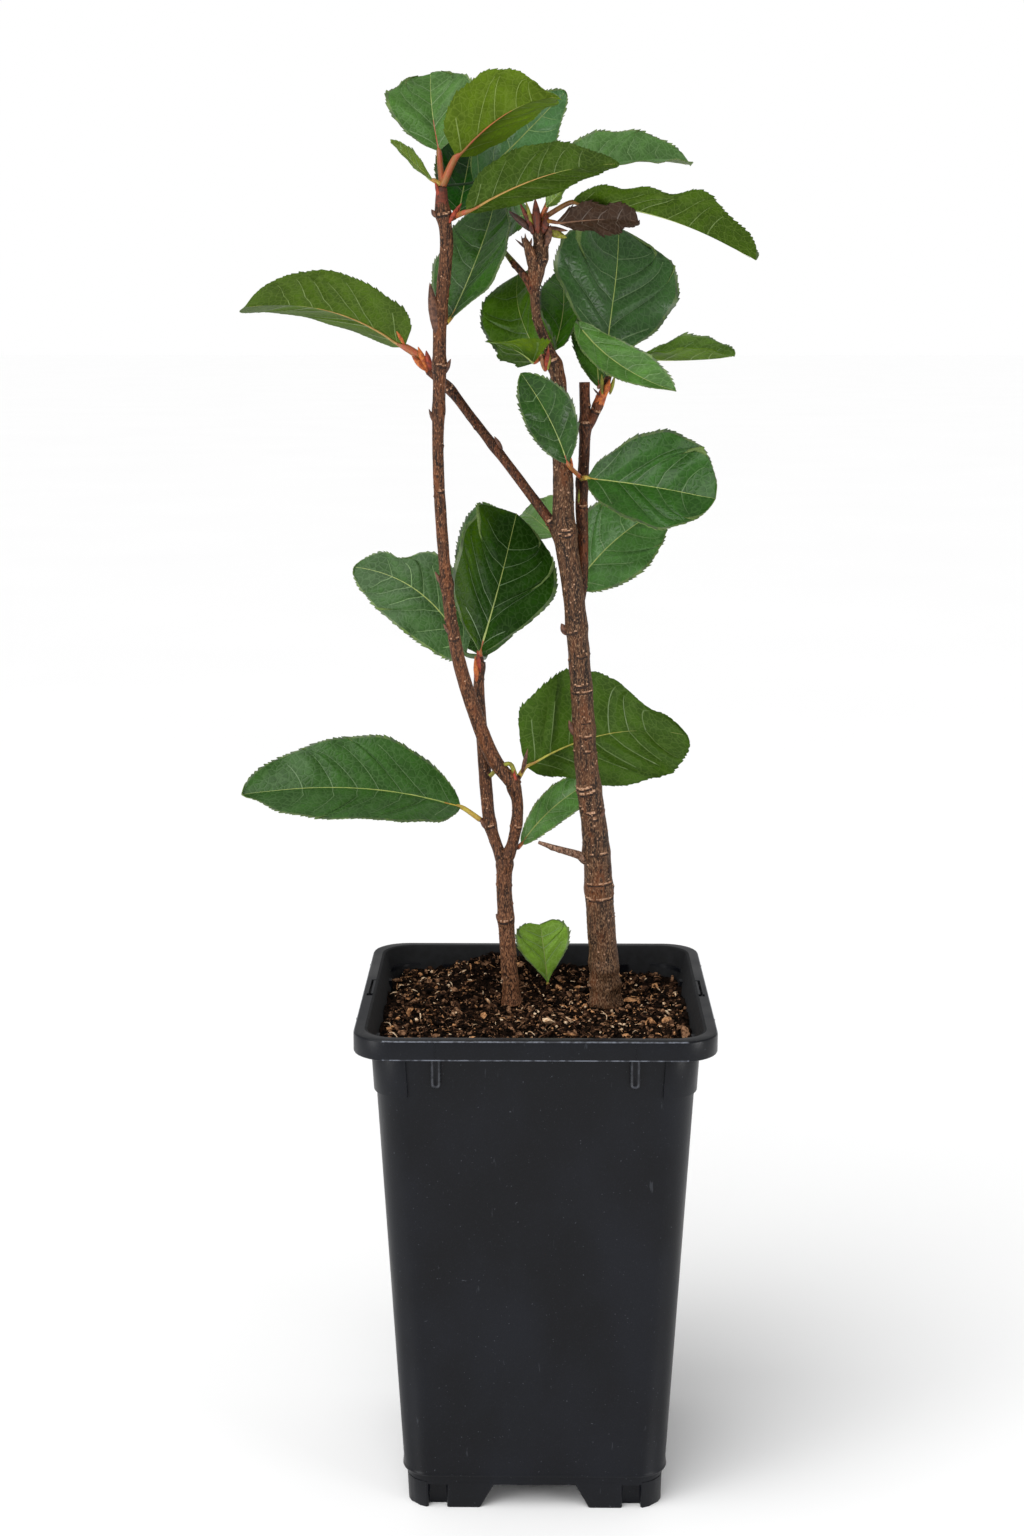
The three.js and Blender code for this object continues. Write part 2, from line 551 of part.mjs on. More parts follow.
// The origin lies on the ground under the middle of the whole plant
const middle = new THREE.Box3().setFromObject(plant).getCenter(new THREE.Vector3());
plant.position.set(-middle.x, -middle.y, 0);

export default plant;
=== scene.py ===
import math

import bmesh
import bpy
import numpy as np
from mathutils import Matrix, Vector, noise


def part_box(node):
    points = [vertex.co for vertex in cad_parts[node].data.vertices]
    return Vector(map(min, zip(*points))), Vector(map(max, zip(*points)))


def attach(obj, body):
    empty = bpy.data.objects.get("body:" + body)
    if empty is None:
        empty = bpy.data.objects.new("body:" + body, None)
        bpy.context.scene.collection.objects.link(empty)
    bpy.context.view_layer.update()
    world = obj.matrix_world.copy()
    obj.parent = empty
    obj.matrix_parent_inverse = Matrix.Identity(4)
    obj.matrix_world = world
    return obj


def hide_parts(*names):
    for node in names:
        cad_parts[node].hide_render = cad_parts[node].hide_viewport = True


# Looks of the potted chokeberry: a young shrub of two canes in a square nursery pot.
# Sizes are millimetres from the middle of the pot's base; a piece turns to metres as it is added.
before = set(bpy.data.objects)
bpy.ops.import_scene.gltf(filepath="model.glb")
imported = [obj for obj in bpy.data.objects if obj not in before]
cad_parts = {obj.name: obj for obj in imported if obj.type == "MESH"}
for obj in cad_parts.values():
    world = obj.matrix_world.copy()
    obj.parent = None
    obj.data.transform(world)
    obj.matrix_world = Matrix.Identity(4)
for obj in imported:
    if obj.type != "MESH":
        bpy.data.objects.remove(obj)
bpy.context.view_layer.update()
pot_low, pot_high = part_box("pot")
MM = 0.001
POT_MIDDLE = Vector(((pot_low.x + pot_high.x) / 2, (pot_low.y + pot_high.y) / 2, 0))
dice = np.random.default_rng(11)


# Materials

def linear(colour, gain=1.0):
    """A screen colour of 0 to 255 in the shader's linear light."""
    share = np.array(colour) / 255
    light = np.where(share <= 0.04045, share / 12.92, ((share + 0.055) / 1.055) ** 2.4)
    return (*np.clip(light * gain, 0, 1).tolist(), 1)


class Skin:
    """A material in the making, with its node tree and its surface shader."""

    def __init__(self, name, roughness, specular=0.5):
        self.material = bpy.data.materials.new(name)
        self.material.use_nodes = True
        self.tree = self.material.node_tree
        self.shader = self.tree.nodes["Principled BSDF"]
        self.shader.inputs["Roughness"].default_value = roughness
        self.shader.inputs["Specular IOR Level"].default_value = specular

    def add(self, kind, **settings):
        made = self.tree.nodes.new(kind)
        for key, value in settings.items():
            setattr(made, key, value)
        return made

    def join(self, source, target):
        self.tree.links.new(source, target)

    def places(self, scale, flat=False):
        """Coordinates with so many pattern cells to a millimetre; flat ones follow the leaf's blade."""
        if flat:
            source = self.add("ShaderNodeUVMap", uv_map="blade").outputs["UV"]
            size = Vector(scale)
        else:
            source = self.add("ShaderNodeTexCoord").outputs["Object"]
            size = Vector(scale) / MM
        stretch = self.add("ShaderNodeMapping")
        stretch.inputs["Scale"].default_value = size
        self.join(source, stretch.inputs["Vector"])
        return stretch.outputs["Vector"]

    def clouds(self, scale, flat=False, detail=3.0):
        made = self.add("ShaderNodeTexNoise")
        made.inputs["Scale"].default_value = 1
        made.inputs["Detail"].default_value = detail
        self.join(self.places(scale, flat), made.inputs["Vector"])
        return made.outputs["Fac"]

    def cells(self, scale):
        """Distance from the walls of small cells on a leaf's blade."""
        made = self.add("ShaderNodeTexVoronoi", feature="DISTANCE_TO_EDGE")
        made.inputs["Scale"].default_value = 1
        self.join(self.places(scale, flat=True), made.inputs["Vector"])
        return made.outputs["Distance"]

    def upright(self):
        """Height over the ground in millimetres."""
        parts = self.add("ShaderNodeSeparateXYZ")
        self.join(self.places((1, 1, 1)), parts.inputs[0])
        return parts.outputs[2]

    def quilted(self, axis):
        """Place between two veins, or across the blade from -1 to 1, from the leaf's own second map."""
        parts = self.add("ShaderNodeSeparateXYZ")
        self.join(self.add("ShaderNodeUVMap", uv_map="quilt").outputs["UV"], parts.inputs[0])
        return parts.outputs[axis]

    def between(self, value, low, high, least=0.0, most=1.0):
        """How far a value lies from low to high, eased at both ends, as a share from least to most."""
        made = self.add("ShaderNodeMapRange", interpolation_type="SMOOTHSTEP")
        self.join(value, made.inputs["Value"])
        made.inputs["From Min"].default_value = low
        made.inputs["From Max"].default_value = high
        made.inputs["To Min"].default_value = least
        made.inputs["To Max"].default_value = most
        return made.outputs["Result"]

    def blend(self, share, first, second):
        """Mix of two colours, each a plain colour or another node's output."""
        made = self.add("ShaderNodeMix", data_type="RGBA")
        self.join(share, made.inputs[0])
        for colour, target in ((first, made.inputs[6]), (second, made.inputs[7])):
            if isinstance(colour, tuple):
                target.default_value = colour
            else:
                self.join(colour, target)
        return made.outputs[2]

    def lay(self, below, over, value, low, high, least=0.0, most=1.0):
        """One colour over another, thin or thick as a value lies from low to high."""
        return self.blend(self.between(value, low, high, least, most), below, over)

    def total(self, first, second, share):
        """First value and a share of the second."""
        made = self.add("ShaderNodeMath", operation="MULTIPLY_ADD")
        self.join(second, made.inputs[0])
        made.inputs[1].default_value = share
        self.join(first, made.inputs[2])
        return made.outputs[0]

    def finish(self, colour, height=None, depth=0.1, strength=0.5):
        self.join(colour, self.shader.inputs["Base Color"])
        if height is not None:
            bump = self.add("ShaderNodeBump")
            bump.inputs["Distance"].default_value = depth * MM
            bump.inputs["Strength"].default_value = strength
            self.join(height, bump.inputs["Height"])
            self.join(bump.outputs["Normal"], self.shader.inputs["Normal"])
        return self.material


made_skins = {}


def shared(kind, name, *values):
    """A material that is made once and used again under the same name."""
    if name not in made_skins:
        made_skins[name] = kind(name, *values)
    return made_skins[name]


def leaf_skin(name, colour, roughness, specular, flush=None):
    """Leaf surface: cloudy tone, painted shade in the troughs beside the veins and painted highlight on
    the swellings between them, a net of small veins and a grain.

    A flush is another tint on one side of the midrib: (side, where it begins, colour). On the under side
    the glow comes in here, as painted light on half the side.
    """
    skin = Skin(name, roughness, specular)
    patches = skin.clouds((0.11, 0.11, 0.11), flat=True)
    tone = skin.lay(linear(colour, 0.72), linear(colour, 1.26), patches, 0.3, 0.7)
    if flush:
        side, begin, tint = flush
        tone = skin.lay(tone, linear(tint), skin.quilted(1), begin * side, (begin + 0.5) * side, 0.0, 0.85)
    # Painted shade: darker next to each side vein, where the trough between swellings would lie in shade
    tone = skin.lay(tone, linear(colour, 0.62), skin.quilted(0), 0.0, 0.45, 0.5, 0.0)
    # Painted highlight: lighter on the swellings midway between the veins
    tone = skin.lay(tone, linear(colour, 1.5), skin.quilted(0), 0.55, 1.0, 0.0, 0.35)
    cells = skin.cells((0.4, 0.4, 0.4))
    tone = skin.lay(tone, linear(np.array(colour) * 0.85 + 34, 1.25), cells, 0.0, 0.12, 0.5, 0.0)
    tone = skin.lay(tone, linear(colour, 0.55), cells, 0.12, 0.4, 0.3, 0.0)
    grain = skin.clouds((2.4, 2.4, 2.4), flat=True, detail=2)
    tone = skin.lay(tone, linear(colour, 0.5), grain, 0.4, 0.75, 0.0, 0.4)
    height = skin.total(skin.between(cells, 0.0, 0.3), grain, 0.7)
    return skin.finish(tone, height, 0.14, 0.5)


def stalk_skin(name, colour, streak):
    """Petioles, midribs and veins: smooth, with faint lengthwise streaks."""
    skin = Skin(name, 0.45)
    tone = skin.lay(linear(colour), linear(streak), skin.clouds((0.5, 0.5, 0.16)), 0.35, 0.65)
    return skin.finish(tone, skin.clouds((3, 3, 1)), 0.05, 0.3)


# Heights between which the bark is painted paler towards the foot: painted light against the shade low in
# the plant
PAINTED_LIGHT_FOOT, PAINTED_LIGHT_TOP = 185, 262


def bark_skin(name, base, dark, warm, pale, specks, roughness=0.75, dust_and_lit_foot=0.4):
    """Bark: lengthwise streaks, warm blotches, many pale specks, dark pits, and painted light that makes
    the foot paler against the shade low in the plant.
    """
    skin = Skin(name, roughness, 0.18)
    streaks = skin.clouds((0.9, 0.9, 0.09), detail=5)
    tone = skin.lay(linear(dark), linear(base), streaks, 0.36, 0.6)
    blotches = skin.clouds((0.16, 0.16, 0.07), detail=4)
    tone = skin.lay(tone, linear(warm), blotches, 0.5, 0.7, 0.0, 0.8)
    scale = skin.clouds((2.4, 2.4, 0.8))
    tone = skin.lay(tone, linear(pale), scale, 0.53, 0.62, 0.0, specks)
    pits = skin.clouds((1.3, 1.3, 0.5), detail=4)
    tone = skin.lay(tone, linear(dark, 0.4), pits, 0.34, 0.46, 0.9, 0.0)
    # Painted light: paler, speckled tone that grows towards the foot, where the plant's lower parts lie in
    # shade
    lit_foot = skin.lay(tone, linear(pale, 0.9), scale, 0.44, 0.6)
    tone = skin.lay(tone, lit_foot, skin.upright(), PAINTED_LIGHT_TOP, PAINTED_LIGHT_FOOT, 0.0, dust_and_lit_foot)
    return skin.finish(tone, skin.total(scale, streaks, 1.2), 0.5, 0.7)


def plain_skin(name, colour, dark, roughness, scale, specular=0.3):
    """Small bits: two tones in soft patches."""
    skin = Skin(name, roughness, specular)
    patches = skin.clouds((scale, scale, scale), detail=4)
    tone = skin.lay(linear(dark), linear(colour), patches, 0.38, 0.62)
    return skin.finish(tone, patches, 0.3, 0.6)


def pot_skin():
    """Black moulded plastic: fine texture, scattered dust and faint pale scuffs."""
    skin = Skin("pot_plastic", 0.34, 0.18)
    clouds = skin.clouds((0.03, 0.03, 0.02), detail=5)
    tone = skin.lay(linear((9, 10, 14)), linear((15, 17, 23)), clouds, 0.35, 0.7)
    grain = skin.clouds((2.2, 2.2, 2.2), detail=2)
    tone = skin.lay(tone, linear((34, 36, 42)), grain, 0.55, 0.75, 0.0, 0.3)
    dust_and_lit_foot = skin.clouds((1.1, 1.1, 1.1), detail=1)
    tone = skin.lay(tone, linear((90, 93, 100)), dust_and_lit_foot, 0.74, 0.8, 0.0, 0.35)
    scuffs = skin.clouds((0.5, 0.5, 0.09))
    tone = skin.lay(tone, linear((100, 104, 112)), scuffs, 0.71, 0.78, 0.0, 0.14)
    skin.join(skin.between(clouds, 0.3, 0.7, 0.28, 0.44), skin.shader.inputs["Roughness"])
    return skin.finish(tone, grain, 0.08, 0.4)


# Pieces

def new_object(name, data):
    """A new object in the scene, at the origin."""
    made = bpy.data.objects.new(name, data)
    bpy.context.scene.collection.objects.link(made)
    return made


def place_piece(name, mesh, skins, nodes, sharp):
    """Sets a finished mesh into the scene. Edges sharper than so many degrees stay crisp."""
    for skin in skins:
        mesh.materials.append(skin)
    mesh.shade_smooth()
    mesh.set_sharp_from_angle(angle=math.radians(sharp))
    piece = new_object(name, mesh)
    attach(piece, "root")
    if nodes:
        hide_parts(*nodes)


def add_piece(name, work, skins, nodes, sharp):
    """Turns a work mesh in millimetres into a piece of the plant."""
    bmesh.ops.scale(work, vec=(MM, MM, MM), verts=work.verts)
    bmesh.ops.translate(work, vec=POT_MIDDLE, verts=work.verts)
    mesh = bpy.data.meshes.new(name)
    work.to_mesh(mesh)
    work.free()
    place_piece(name, mesh, skins, nodes, sharp)


def join_into(work, other):
    """Moves another work mesh into this one."""
    mesh = bpy.data.meshes.new("passing")
    other.to_mesh(mesh)
    other.free()
    work.from_mesh(mesh)
    bpy.data.meshes.remove(mesh)


def scatter(name, shapes, skins):
    """Joined mesh of many small copies. A shape is (points, faces, skin index, places)."""
    points, faces, kinds = [], [], []
    first = 0
    for base_points, base_faces, kind, places in shapes:
        for turn, at in places:
            points.append(base_points @ turn.T + at)
            faces.append(base_faces + first)
            kinds.append(np.full(len(base_faces), kind))
            first += len(base_points)
    mesh = bpy.data.meshes.new(name)
    corners = np.concatenate(points) * MM + np.array(POT_MIDDLE)
    mesh.from_pydata(corners.tolist(), [], np.concatenate(faces).tolist())
    mesh.polygons.foreach_set("material_index", np.concatenate(kinds).astype(np.int32))
    mesh.update()
    place_piece(name, mesh, skins, (), 60)


def verts_of(made):
    """Points among what a bmesh operator made."""
    return [g for g in made["geom"] if isinstance(g, bmesh.types.BMVert)]


def rim_of(made):
    """Open edges among what a bmesh operator made."""
    return [g for g in made["geom"] if isinstance(g, bmesh.types.BMEdge) and g.is_boundary]


def round_off(work, geom, offset, steps, affect="EDGES"):
    """Rounds edges, or the corners of a flat face where VERTICES are named."""
    bmesh.ops.bevel(
        work, geom=geom, offset=offset, offset_type="OFFSET", segments=steps, profile=0.5,
        affect=affect, material=-1, clamp_overlap=affect == "EDGES",
    )


def slice_faces(work, faces, axis, at):
    """Cuts faces along the upright plane where x (axis 0) or y (axis 1) has a value."""
    normal = Vector((axis == 0, axis == 1, 0))
    edges = dict.fromkeys(e for f in faces for e in f.edges)
    verts = dict.fromkeys(v for f in faces for v in f.verts)
    geom = [*faces, *edges, *verts]
    bmesh.ops.bisect_plane(work, geom=geom, plane_co=normal * at, plane_no=normal, dist=1e-4)


def sheet_of(points):
    """Work mesh of a grid of points, row by row."""
    rows, columns = points.shape[:2]
    work = bmesh.new()
    bmesh.ops.create_grid(work, x_segments=columns - 1, y_segments=rows - 1, size=1)
    for vert, point in zip(work.verts, points.reshape(-1, 3)):
        vert.co = point
    return work


def points_and_faces(work):
    """Plain arrays of a work mesh, which is used up."""
    work.verts.index_update()
    points = np.array([v.co for v in work.verts])
    faces = np.array([[v.index for v in f.verts] for f in work.faces])
    work.free()
    return points, faces


def pebble(seed, rough):
    """Points and faces of a small uneven grain of about unit radius."""
    work = bmesh.new()
    bmesh.ops.create_icosphere(work, subdivisions=1, radius=1)
    points, faces = points_and_faces(work)
    own = np.random.default_rng(seed)
    return points * (1 + rough * own.uniform(-1, 1, (len(points), 1))), faces


TUMBLE = 0.5


def random_turn():
    """A turn about the upright axis with some tilt, as a matrix."""
    spin = Matrix.Rotation(dice.uniform(0, 2 * math.pi), 3, "Z")
    tilt = Matrix.Rotation(dice.normal(0, TUMBLE), 3, "X")
    roll = Matrix.Rotation(dice.normal(0, TUMBLE), 3, "Y")
    return np.array(spin @ tilt @ roll)


def ease(value, low, high):
    """Eased share of the way from low to high."""
    share = np.clip((value - low) / (high - low), 0, 1)
    return share * share * (3 - 2 * share)


# Pot

LEDGE, BASE_PLATE, SHOULDER = 14, 10, 191
BODY_TOP, BODY_FOOT, BODY_RADIUS = 61.7, 52.1, 12
WALL = 1.2
CORNER_STEPS = 8


def body_half(z):
    """Half width of the tapering body at a height."""
    return BODY_FOOT + (z - LEDGE) * (BODY_TOP - BODY_FOOT) / (SHOULDER - LEDGE)


# Profile of the pot as rounded squares (half width, corner radius, height): up the inside, over the lip
# and skirt, down the outside to the ledge and in under it
POT_PROFILE = [
    (body_half(12) - WALL, 10.8, 12), (body_half(188) - WALL, 10.8, 188), (63.7, 11.7, 198.1),
    (63.9, 11.9, 198.6), (64.3, 12.2, 198.9), (64.9, 12.6, 199), (67.9, 13.6, 199), (68.5, 14.1, 198.85),
    (68.9, 14.4, 198.4), (69, 14.5, 197.8), (69, 14.5, 191.7), (68.8, 14.3, 191.2), (68.4, 13.9, 191),
    (67.7, 13.2, 191), (67.35, 12.9, 191.3), (67.3, 12.8, 197.2), (64.6, 12.4, 197.2),
    (body_half(190), BODY_RADIUS, 190), (body_half(16), BODY_RADIUS, 16), (52.5, 12.2, 15.2),
    (52.6, 12.3, 14.7), (52.4, 12.2, 14.1), (51.7, 11.8, 13.8), (51.1, 11.5, 13.4),
    (50.9, 11.4, BASE_PLATE),
]


def first_loop(work, half, radius, z):
    """Edges of a rounded square, as an open loop."""
    square = bmesh.ops.create_grid(work, x_segments=1, y_segments=1, size=half)
    round_off(work, square["verts"], radius, CORNER_STEPS, "VERTICES")
    bmesh.ops.delete(work, geom=list(work.faces), context="FACES_ONLY")
    bmesh.ops.translate(work, vec=(0, 0, z), verts=work.verts)
    return list(work.edges)


def loop_to(verts, old, new):
    """Moves a rounded square's points from one size to another."""
    for vert in verts:
        sign = Vector((math.copysign(1, vert.co.x), math.copysign(1, vert.co.y)))
        round_out = (vert.co.xy - sign * (old[0] - old[1])) / old[1]
        flat = sign * (new[0] - new[1]) + round_out.normalized() * new[1]
        vert.co = (flat.x, flat.y, new[2])


def next_loop(work, edges, old, new):
    """Carries the wall on from one rounded square of the profile to the next."""
    grown = bmesh.ops.extrude_edge_only(work, edges=edges)
    loop_to(verts_of(grown), old, new)
    return rim_of(grown)


# Slot for a label in the lip: a groove with a hole at its front end and a hook at its back end
HOLE_IN, GROOVE_IN, GROOVE_OUT, HOLE_OUT = 64.9, 65.7, 66.7, 67.3
SLOT_FRONT, HOLE_BACK, HOOK_FRONT, SLOT_BACK = -10.4, -7.4, 10.9, 12
LIP_LEVEL, LIP_INSIDE = 197, 62


def in_label_slot(at):
    """True inside the slot, on either side of the pot."""
    x, y = abs(at.x), at.y
    groove = GROOVE_IN < x < GROOVE_OUT and SLOT_FRONT < y < SLOT_BACK
    hole = HOLE_IN < x < HOLE_OUT and SLOT_FRONT < y < HOLE_BACK
    hook = HOLE_IN < x < GROOVE_OUT and HOOK_FRONT < y < SLOT_BACK
    return groove or hole or hook


def lip_faces(work):
    """Level faces of the lip, left and right."""
    def on_lip(face):
        at = face.calc_center_median()
        return abs(face.normal.z) > 0.99 and at.z > LIP_LEVEL and abs(at.x) > LIP_INSIDE
    return [f for f in work.faces if on_lip(f)]


def cut_label_slots(work):
    for x in (HOLE_IN, GROOVE_IN, GROOVE_OUT, HOLE_OUT):
        for side in (1, -1):
            slice_faces(work, lip_faces(work), 0, side * x)
    for y in (SLOT_FRONT, HOLE_BACK, HOOK_FRONT, SLOT_BACK):
        slice_faces(work, lip_faces(work), 1, y)
    work.normal_update()
    gone = [f for f in lip_faces(work) if in_label_slot(f.calc_center_median())]
    bmesh.ops.delete(work, geom=gone, context="FACES")
    for side in (-1, 1):
        open_edges = [e for e in work.edges if e.is_boundary and e.verts[0].co.z > LIP_LEVEL]
        rim = [e for e in open_edges if e.verts[0].co.x * side > 0]
        bmesh.ops.bridge_loops(work, edges=rim)


DRAIN_HOLES = ((0, 0), (0, -30), (0, 30), (-30, 0), (30, 0))
DRAIN_RADIUS = 4


def drain_loops(work, z):
    """Edges of the round drain holes at a height."""
    edges = []
    for x, y in DRAIN_HOLES:
        spot = Matrix.Translation((x, y, z))
        made = bmesh.ops.create_circle(work, segments=20, radius=DRAIN_RADIUS, matrix=spot)
        edges += list({e for v in made["verts"] for e in v.link_edges})
    return edges


def pot_shell():
    """Walls, rim and floor of the pot, with its drain holes and label slots."""
    work = bmesh.new()
    edges = first_loop(work, *POT_PROFILE[0])
    inner = list(edges)
    for old, new in zip(POT_PROFILE, POT_PROFILE[1:]):
        edges = next_loop(work, edges, old, new)
    upper = drain_loops(work, POT_PROFILE[0][2])
    bmesh.ops.triangle_fill(work, edges=inner + upper, use_beauty=True)
    grown = bmesh.ops.extrude_edge_only(work, edges=upper)
    for vert in verts_of(grown):
        vert.co.z = BASE_PLATE
    bmesh.ops.triangle_fill(work, edges=edges + rim_of(grown), use_beauty=True)
    bmesh.ops.recalc_face_normals(work, faces=work.faces)
    work.normal_update()
    cut_label_slots(work)
    bmesh.ops.recalc_face_normals(work, faces=work.faces)
    return work


FOOT_IN_TOP, FOOT_IN_LOW, FOOT_OUT = 15.4, 21.4, 51
FOOT_DRAFT, FOOT_OUTER_FROM = 0.5, 46
NOTCH_FROM, NOTCH_TO, NOTCH_FACE = 34.7, 42, 47.2


def in_drain_notch(at):
    across = NOTCH_FROM < at.x < NOTCH_TO and at.y > NOTCH_FACE
    along = NOTCH_FROM < at.y < NOTCH_TO and at.x > NOTCH_FACE
    return across or along


def on_the_ground(place):
    """Where a side of a foot that starts at a place under the base ends on the ground."""
    if place < FOOT_IN_TOP + 0.1:
        return FOOT_IN_LOW
    return place - FOOT_DRAFT * (place > FOOT_OUTER_FROM)


def pot_foot():
    """One corner foot with a drain notch in each outer side and a sloping face along each channel."""
    work = bmesh.new()
    bmesh.ops.create_grid(work, x_segments=1, y_segments=1, size=(FOOT_OUT - FOOT_IN_TOP) / 2)
    middle = (FOOT_OUT + FOOT_IN_TOP) / 2
    bmesh.ops.translate(work, vec=(middle, middle, 0), verts=work.verts)
    corner = [v for v in work.verts if v.co.x > middle and v.co.y > middle]
    round_off(work, corner, BODY_RADIUS - 1, 6, "VERTICES")
    for cut in (NOTCH_FROM, NOTCH_TO, NOTCH_FACE):
        for axis in (0, 1):
            slice_faces(work, list(work.faces), axis, cut)
    gone = [f for f in work.faces if in_drain_notch(f.calc_center_median())]
    bmesh.ops.delete(work, geom=gone, context="FACES")
    bmesh.ops.dissolve_faces(work, faces=list(work.faces))
    bmesh.ops.translate(work, vec=(0, 0, BASE_PLATE + 1), verts=work.verts)
    for vert in verts_of(bmesh.ops.extrude_face_region(work, geom=list(work.faces))):
        vert.co = (on_the_ground(vert.co.x), on_the_ground(vert.co.y), 0)
    bmesh.ops.recalc_face_normals(work, faces=work.faces)
    tall = [e for e in work.edges if abs(e.verts[0].co.z - e.verts[1].co.z) > 5]
    round_off(work, [e for e in tall if e.calc_face_angle(0) > 0.6], 0.9, 3)
    ground = [e for e in work.edges if max(v.co.z for v in e.verts) < 0.01]
    round_off(work, ground, 1.6, 3)
    for vert in work.verts:
        vert.co.z = max(vert.co.z, 0)
    return work


RIB_SPREAD, RIB_WIDTH, RIB_LENGTH, RIB_PROUD = 37.6, 3.8, 13.4, 1.5
RIB_EDGE, RIB_DISH = 1.0, 0.7


def pot_rib():
    """Bead shaped like a narrow U that hangs under the rim, for the front side."""
    work = bmesh.new()
    bmesh.ops.create_grid(work, x_segments=1, y_segments=1, size=0.5)
    bmesh.ops.scale(work, vec=(RIB_WIDTH, RIB_LENGTH, 1), verts=work.verts)
    round_off(work, [v for v in work.verts if v.co.y < 0], RIB_WIDTH * 0.46, 6, "VERTICES")
    grown = bmesh.ops.extrude_face_region(work, geom=list(work.faces))
    bmesh.ops.translate(work, vec=(0, 0, 2 * RIB_PROUD), verts=verts_of(grown))
    front = [g for g in grown["geom"] if isinstance(g, bmesh.types.BMFace)]
    bmesh.ops.inset_region(work, faces=front, thickness=RIB_EDGE, use_even_offset=True)
    bmesh.ops.translate(work, vec=(0, 0, -RIB_DISH), verts=list({v for f in front for v in f.verts}))
    crest = [e for e in work.edges if min(v.co.z for v in e.verts) > 2 * RIB_PROUD - 0.05]
    round_off(work, crest, 0.35, 2)
    bmesh.ops.recalc_face_normals(work, faces=work.faces)
    # Sloping faces round the rib's crest take the second skin, a painted highlight along the rib's edges
    for face in work.faces:
        if 0.15 < face.normal.z < 0.97:
            face.material_index = 1
    lean = math.atan2(BODY_TOP - BODY_FOOT, SHOULDER - LEDGE)
    top_z = SHOULDER + 0.6 - RIB_LENGTH / 2
    upright = Matrix.Rotation(math.pi / 2 + lean, 4, "X")
    bmesh.ops.transform(work, matrix=upright, verts=work.verts)
    bmesh.ops.translate(work, vec=(0, -body_half(top_z) + RIB_PROUD, top_z), verts=work.verts)
    return work


WITNESS_SIZE, WITNESS_AT = (0.3, 0.4, 6.4), (0, -68.98, 194.9)


def witness_line():
    """Faint moulded line down the skirt over a rib."""
    work = bmesh.new()
    bmesh.ops.create_cube(work, size=1)
    bmesh.ops.scale(work, vec=WITNESS_SIZE, verts=work.verts)
    bmesh.ops.translate(work, vec=WITNESS_AT, verts=work.verts)
    return work


PANEL_TOP, PANEL_LOW, PANEL_PROUD, PANEL_SIDE = 192, 174, 1.0, 0.6
PANEL_STEPS, PANEL_THICKNESS = 14, 1.4


def corner_panel():
    """Proud panel wrapped round the corner at +X, -Y, from the rim down to a stepped edge."""
    work = bmesh.new()
    bmesh.ops.create_grid(work, x_segments=PANEL_STEPS, y_segments=2, size=1)
    radius = BODY_RADIUS + PANEL_PROUD
    quarter = math.pi / 2
    for vert in work.verts:
        z = PANEL_LOW + (PANEL_TOP - PANEL_LOW) * (vert.co.y + 1) / 2
        run = (vert.co.x + 1) / 2 * (quarter * radius + 2 * PANEL_SIDE) - PANEL_SIDE
        turn = min(max(run / radius, 0), quarter)
        over = run - turn * radius
        flat = body_half(z) + PANEL_PROUD - radius
        x = flat + radius * math.sin(turn) + min(over, 0)
        y = -flat - radius * math.cos(turn) + max(over, 0)
        vert.co = (x, y, z)
    bmesh.ops.recalc_face_normals(work, faces=work.faces)
    if sum(f.normal.dot(Vector((1, -1, 0))) for f in work.faces) < 0:
        bmesh.ops.reverse_faces(work, faces=work.faces)
    work.normal_update()
    bmesh.ops.solidify(work, geom=list(work.faces), thickness=PANEL_THICKNESS)
    edge = [e for e in work.edges if len(e.link_faces) == 2 and e.calc_face_angle(0) > 1.2]
    round_off(work, edge, 0.3, 2)
    return work


def on_four_sides(work, make, x=0):
    """Adds what a function makes for the front, moved aside by x, to all four sides of the pot."""
    for quarter in range(4):
        one = make()
        bmesh.ops.translate(one, vec=(x, 0, 0), verts=one.verts)
        turn = Matrix.Rotation(quarter * math.pi / 2, 4, "Z")
        bmesh.ops.transform(one, matrix=turn, verts=one.verts)
        join_into(work, one)


# Bands along the outer edges of the lip and skirt that are painted lighter: painted highlight where the
# rounded edges catch the light
LIT_EDGE_FROM, LIT_EDGE_BANDS = 68.4, ((198.45, 198.8), (191.2, 191.6))


def share_pot_skins(work):
    """Second skin, a painted highlight, for the outer edges of the lip and the skirt; third for the dull
    inside of the walls.
    """
    for face in work.faces:
        at = face.calc_center_median()
        outward = face.normal.x * at.x + face.normal.y * at.y
        lit_edge = any(low < at.z < high for low, high in LIT_EDGE_BANDS)
        if lit_edge and max(abs(at.x), abs(at.y)) > LIT_EDGE_FROM:
            face.material_index = 1
        elif at.z > BASE_PLATE + 4 and outward < -1:
            face.material_index = 2


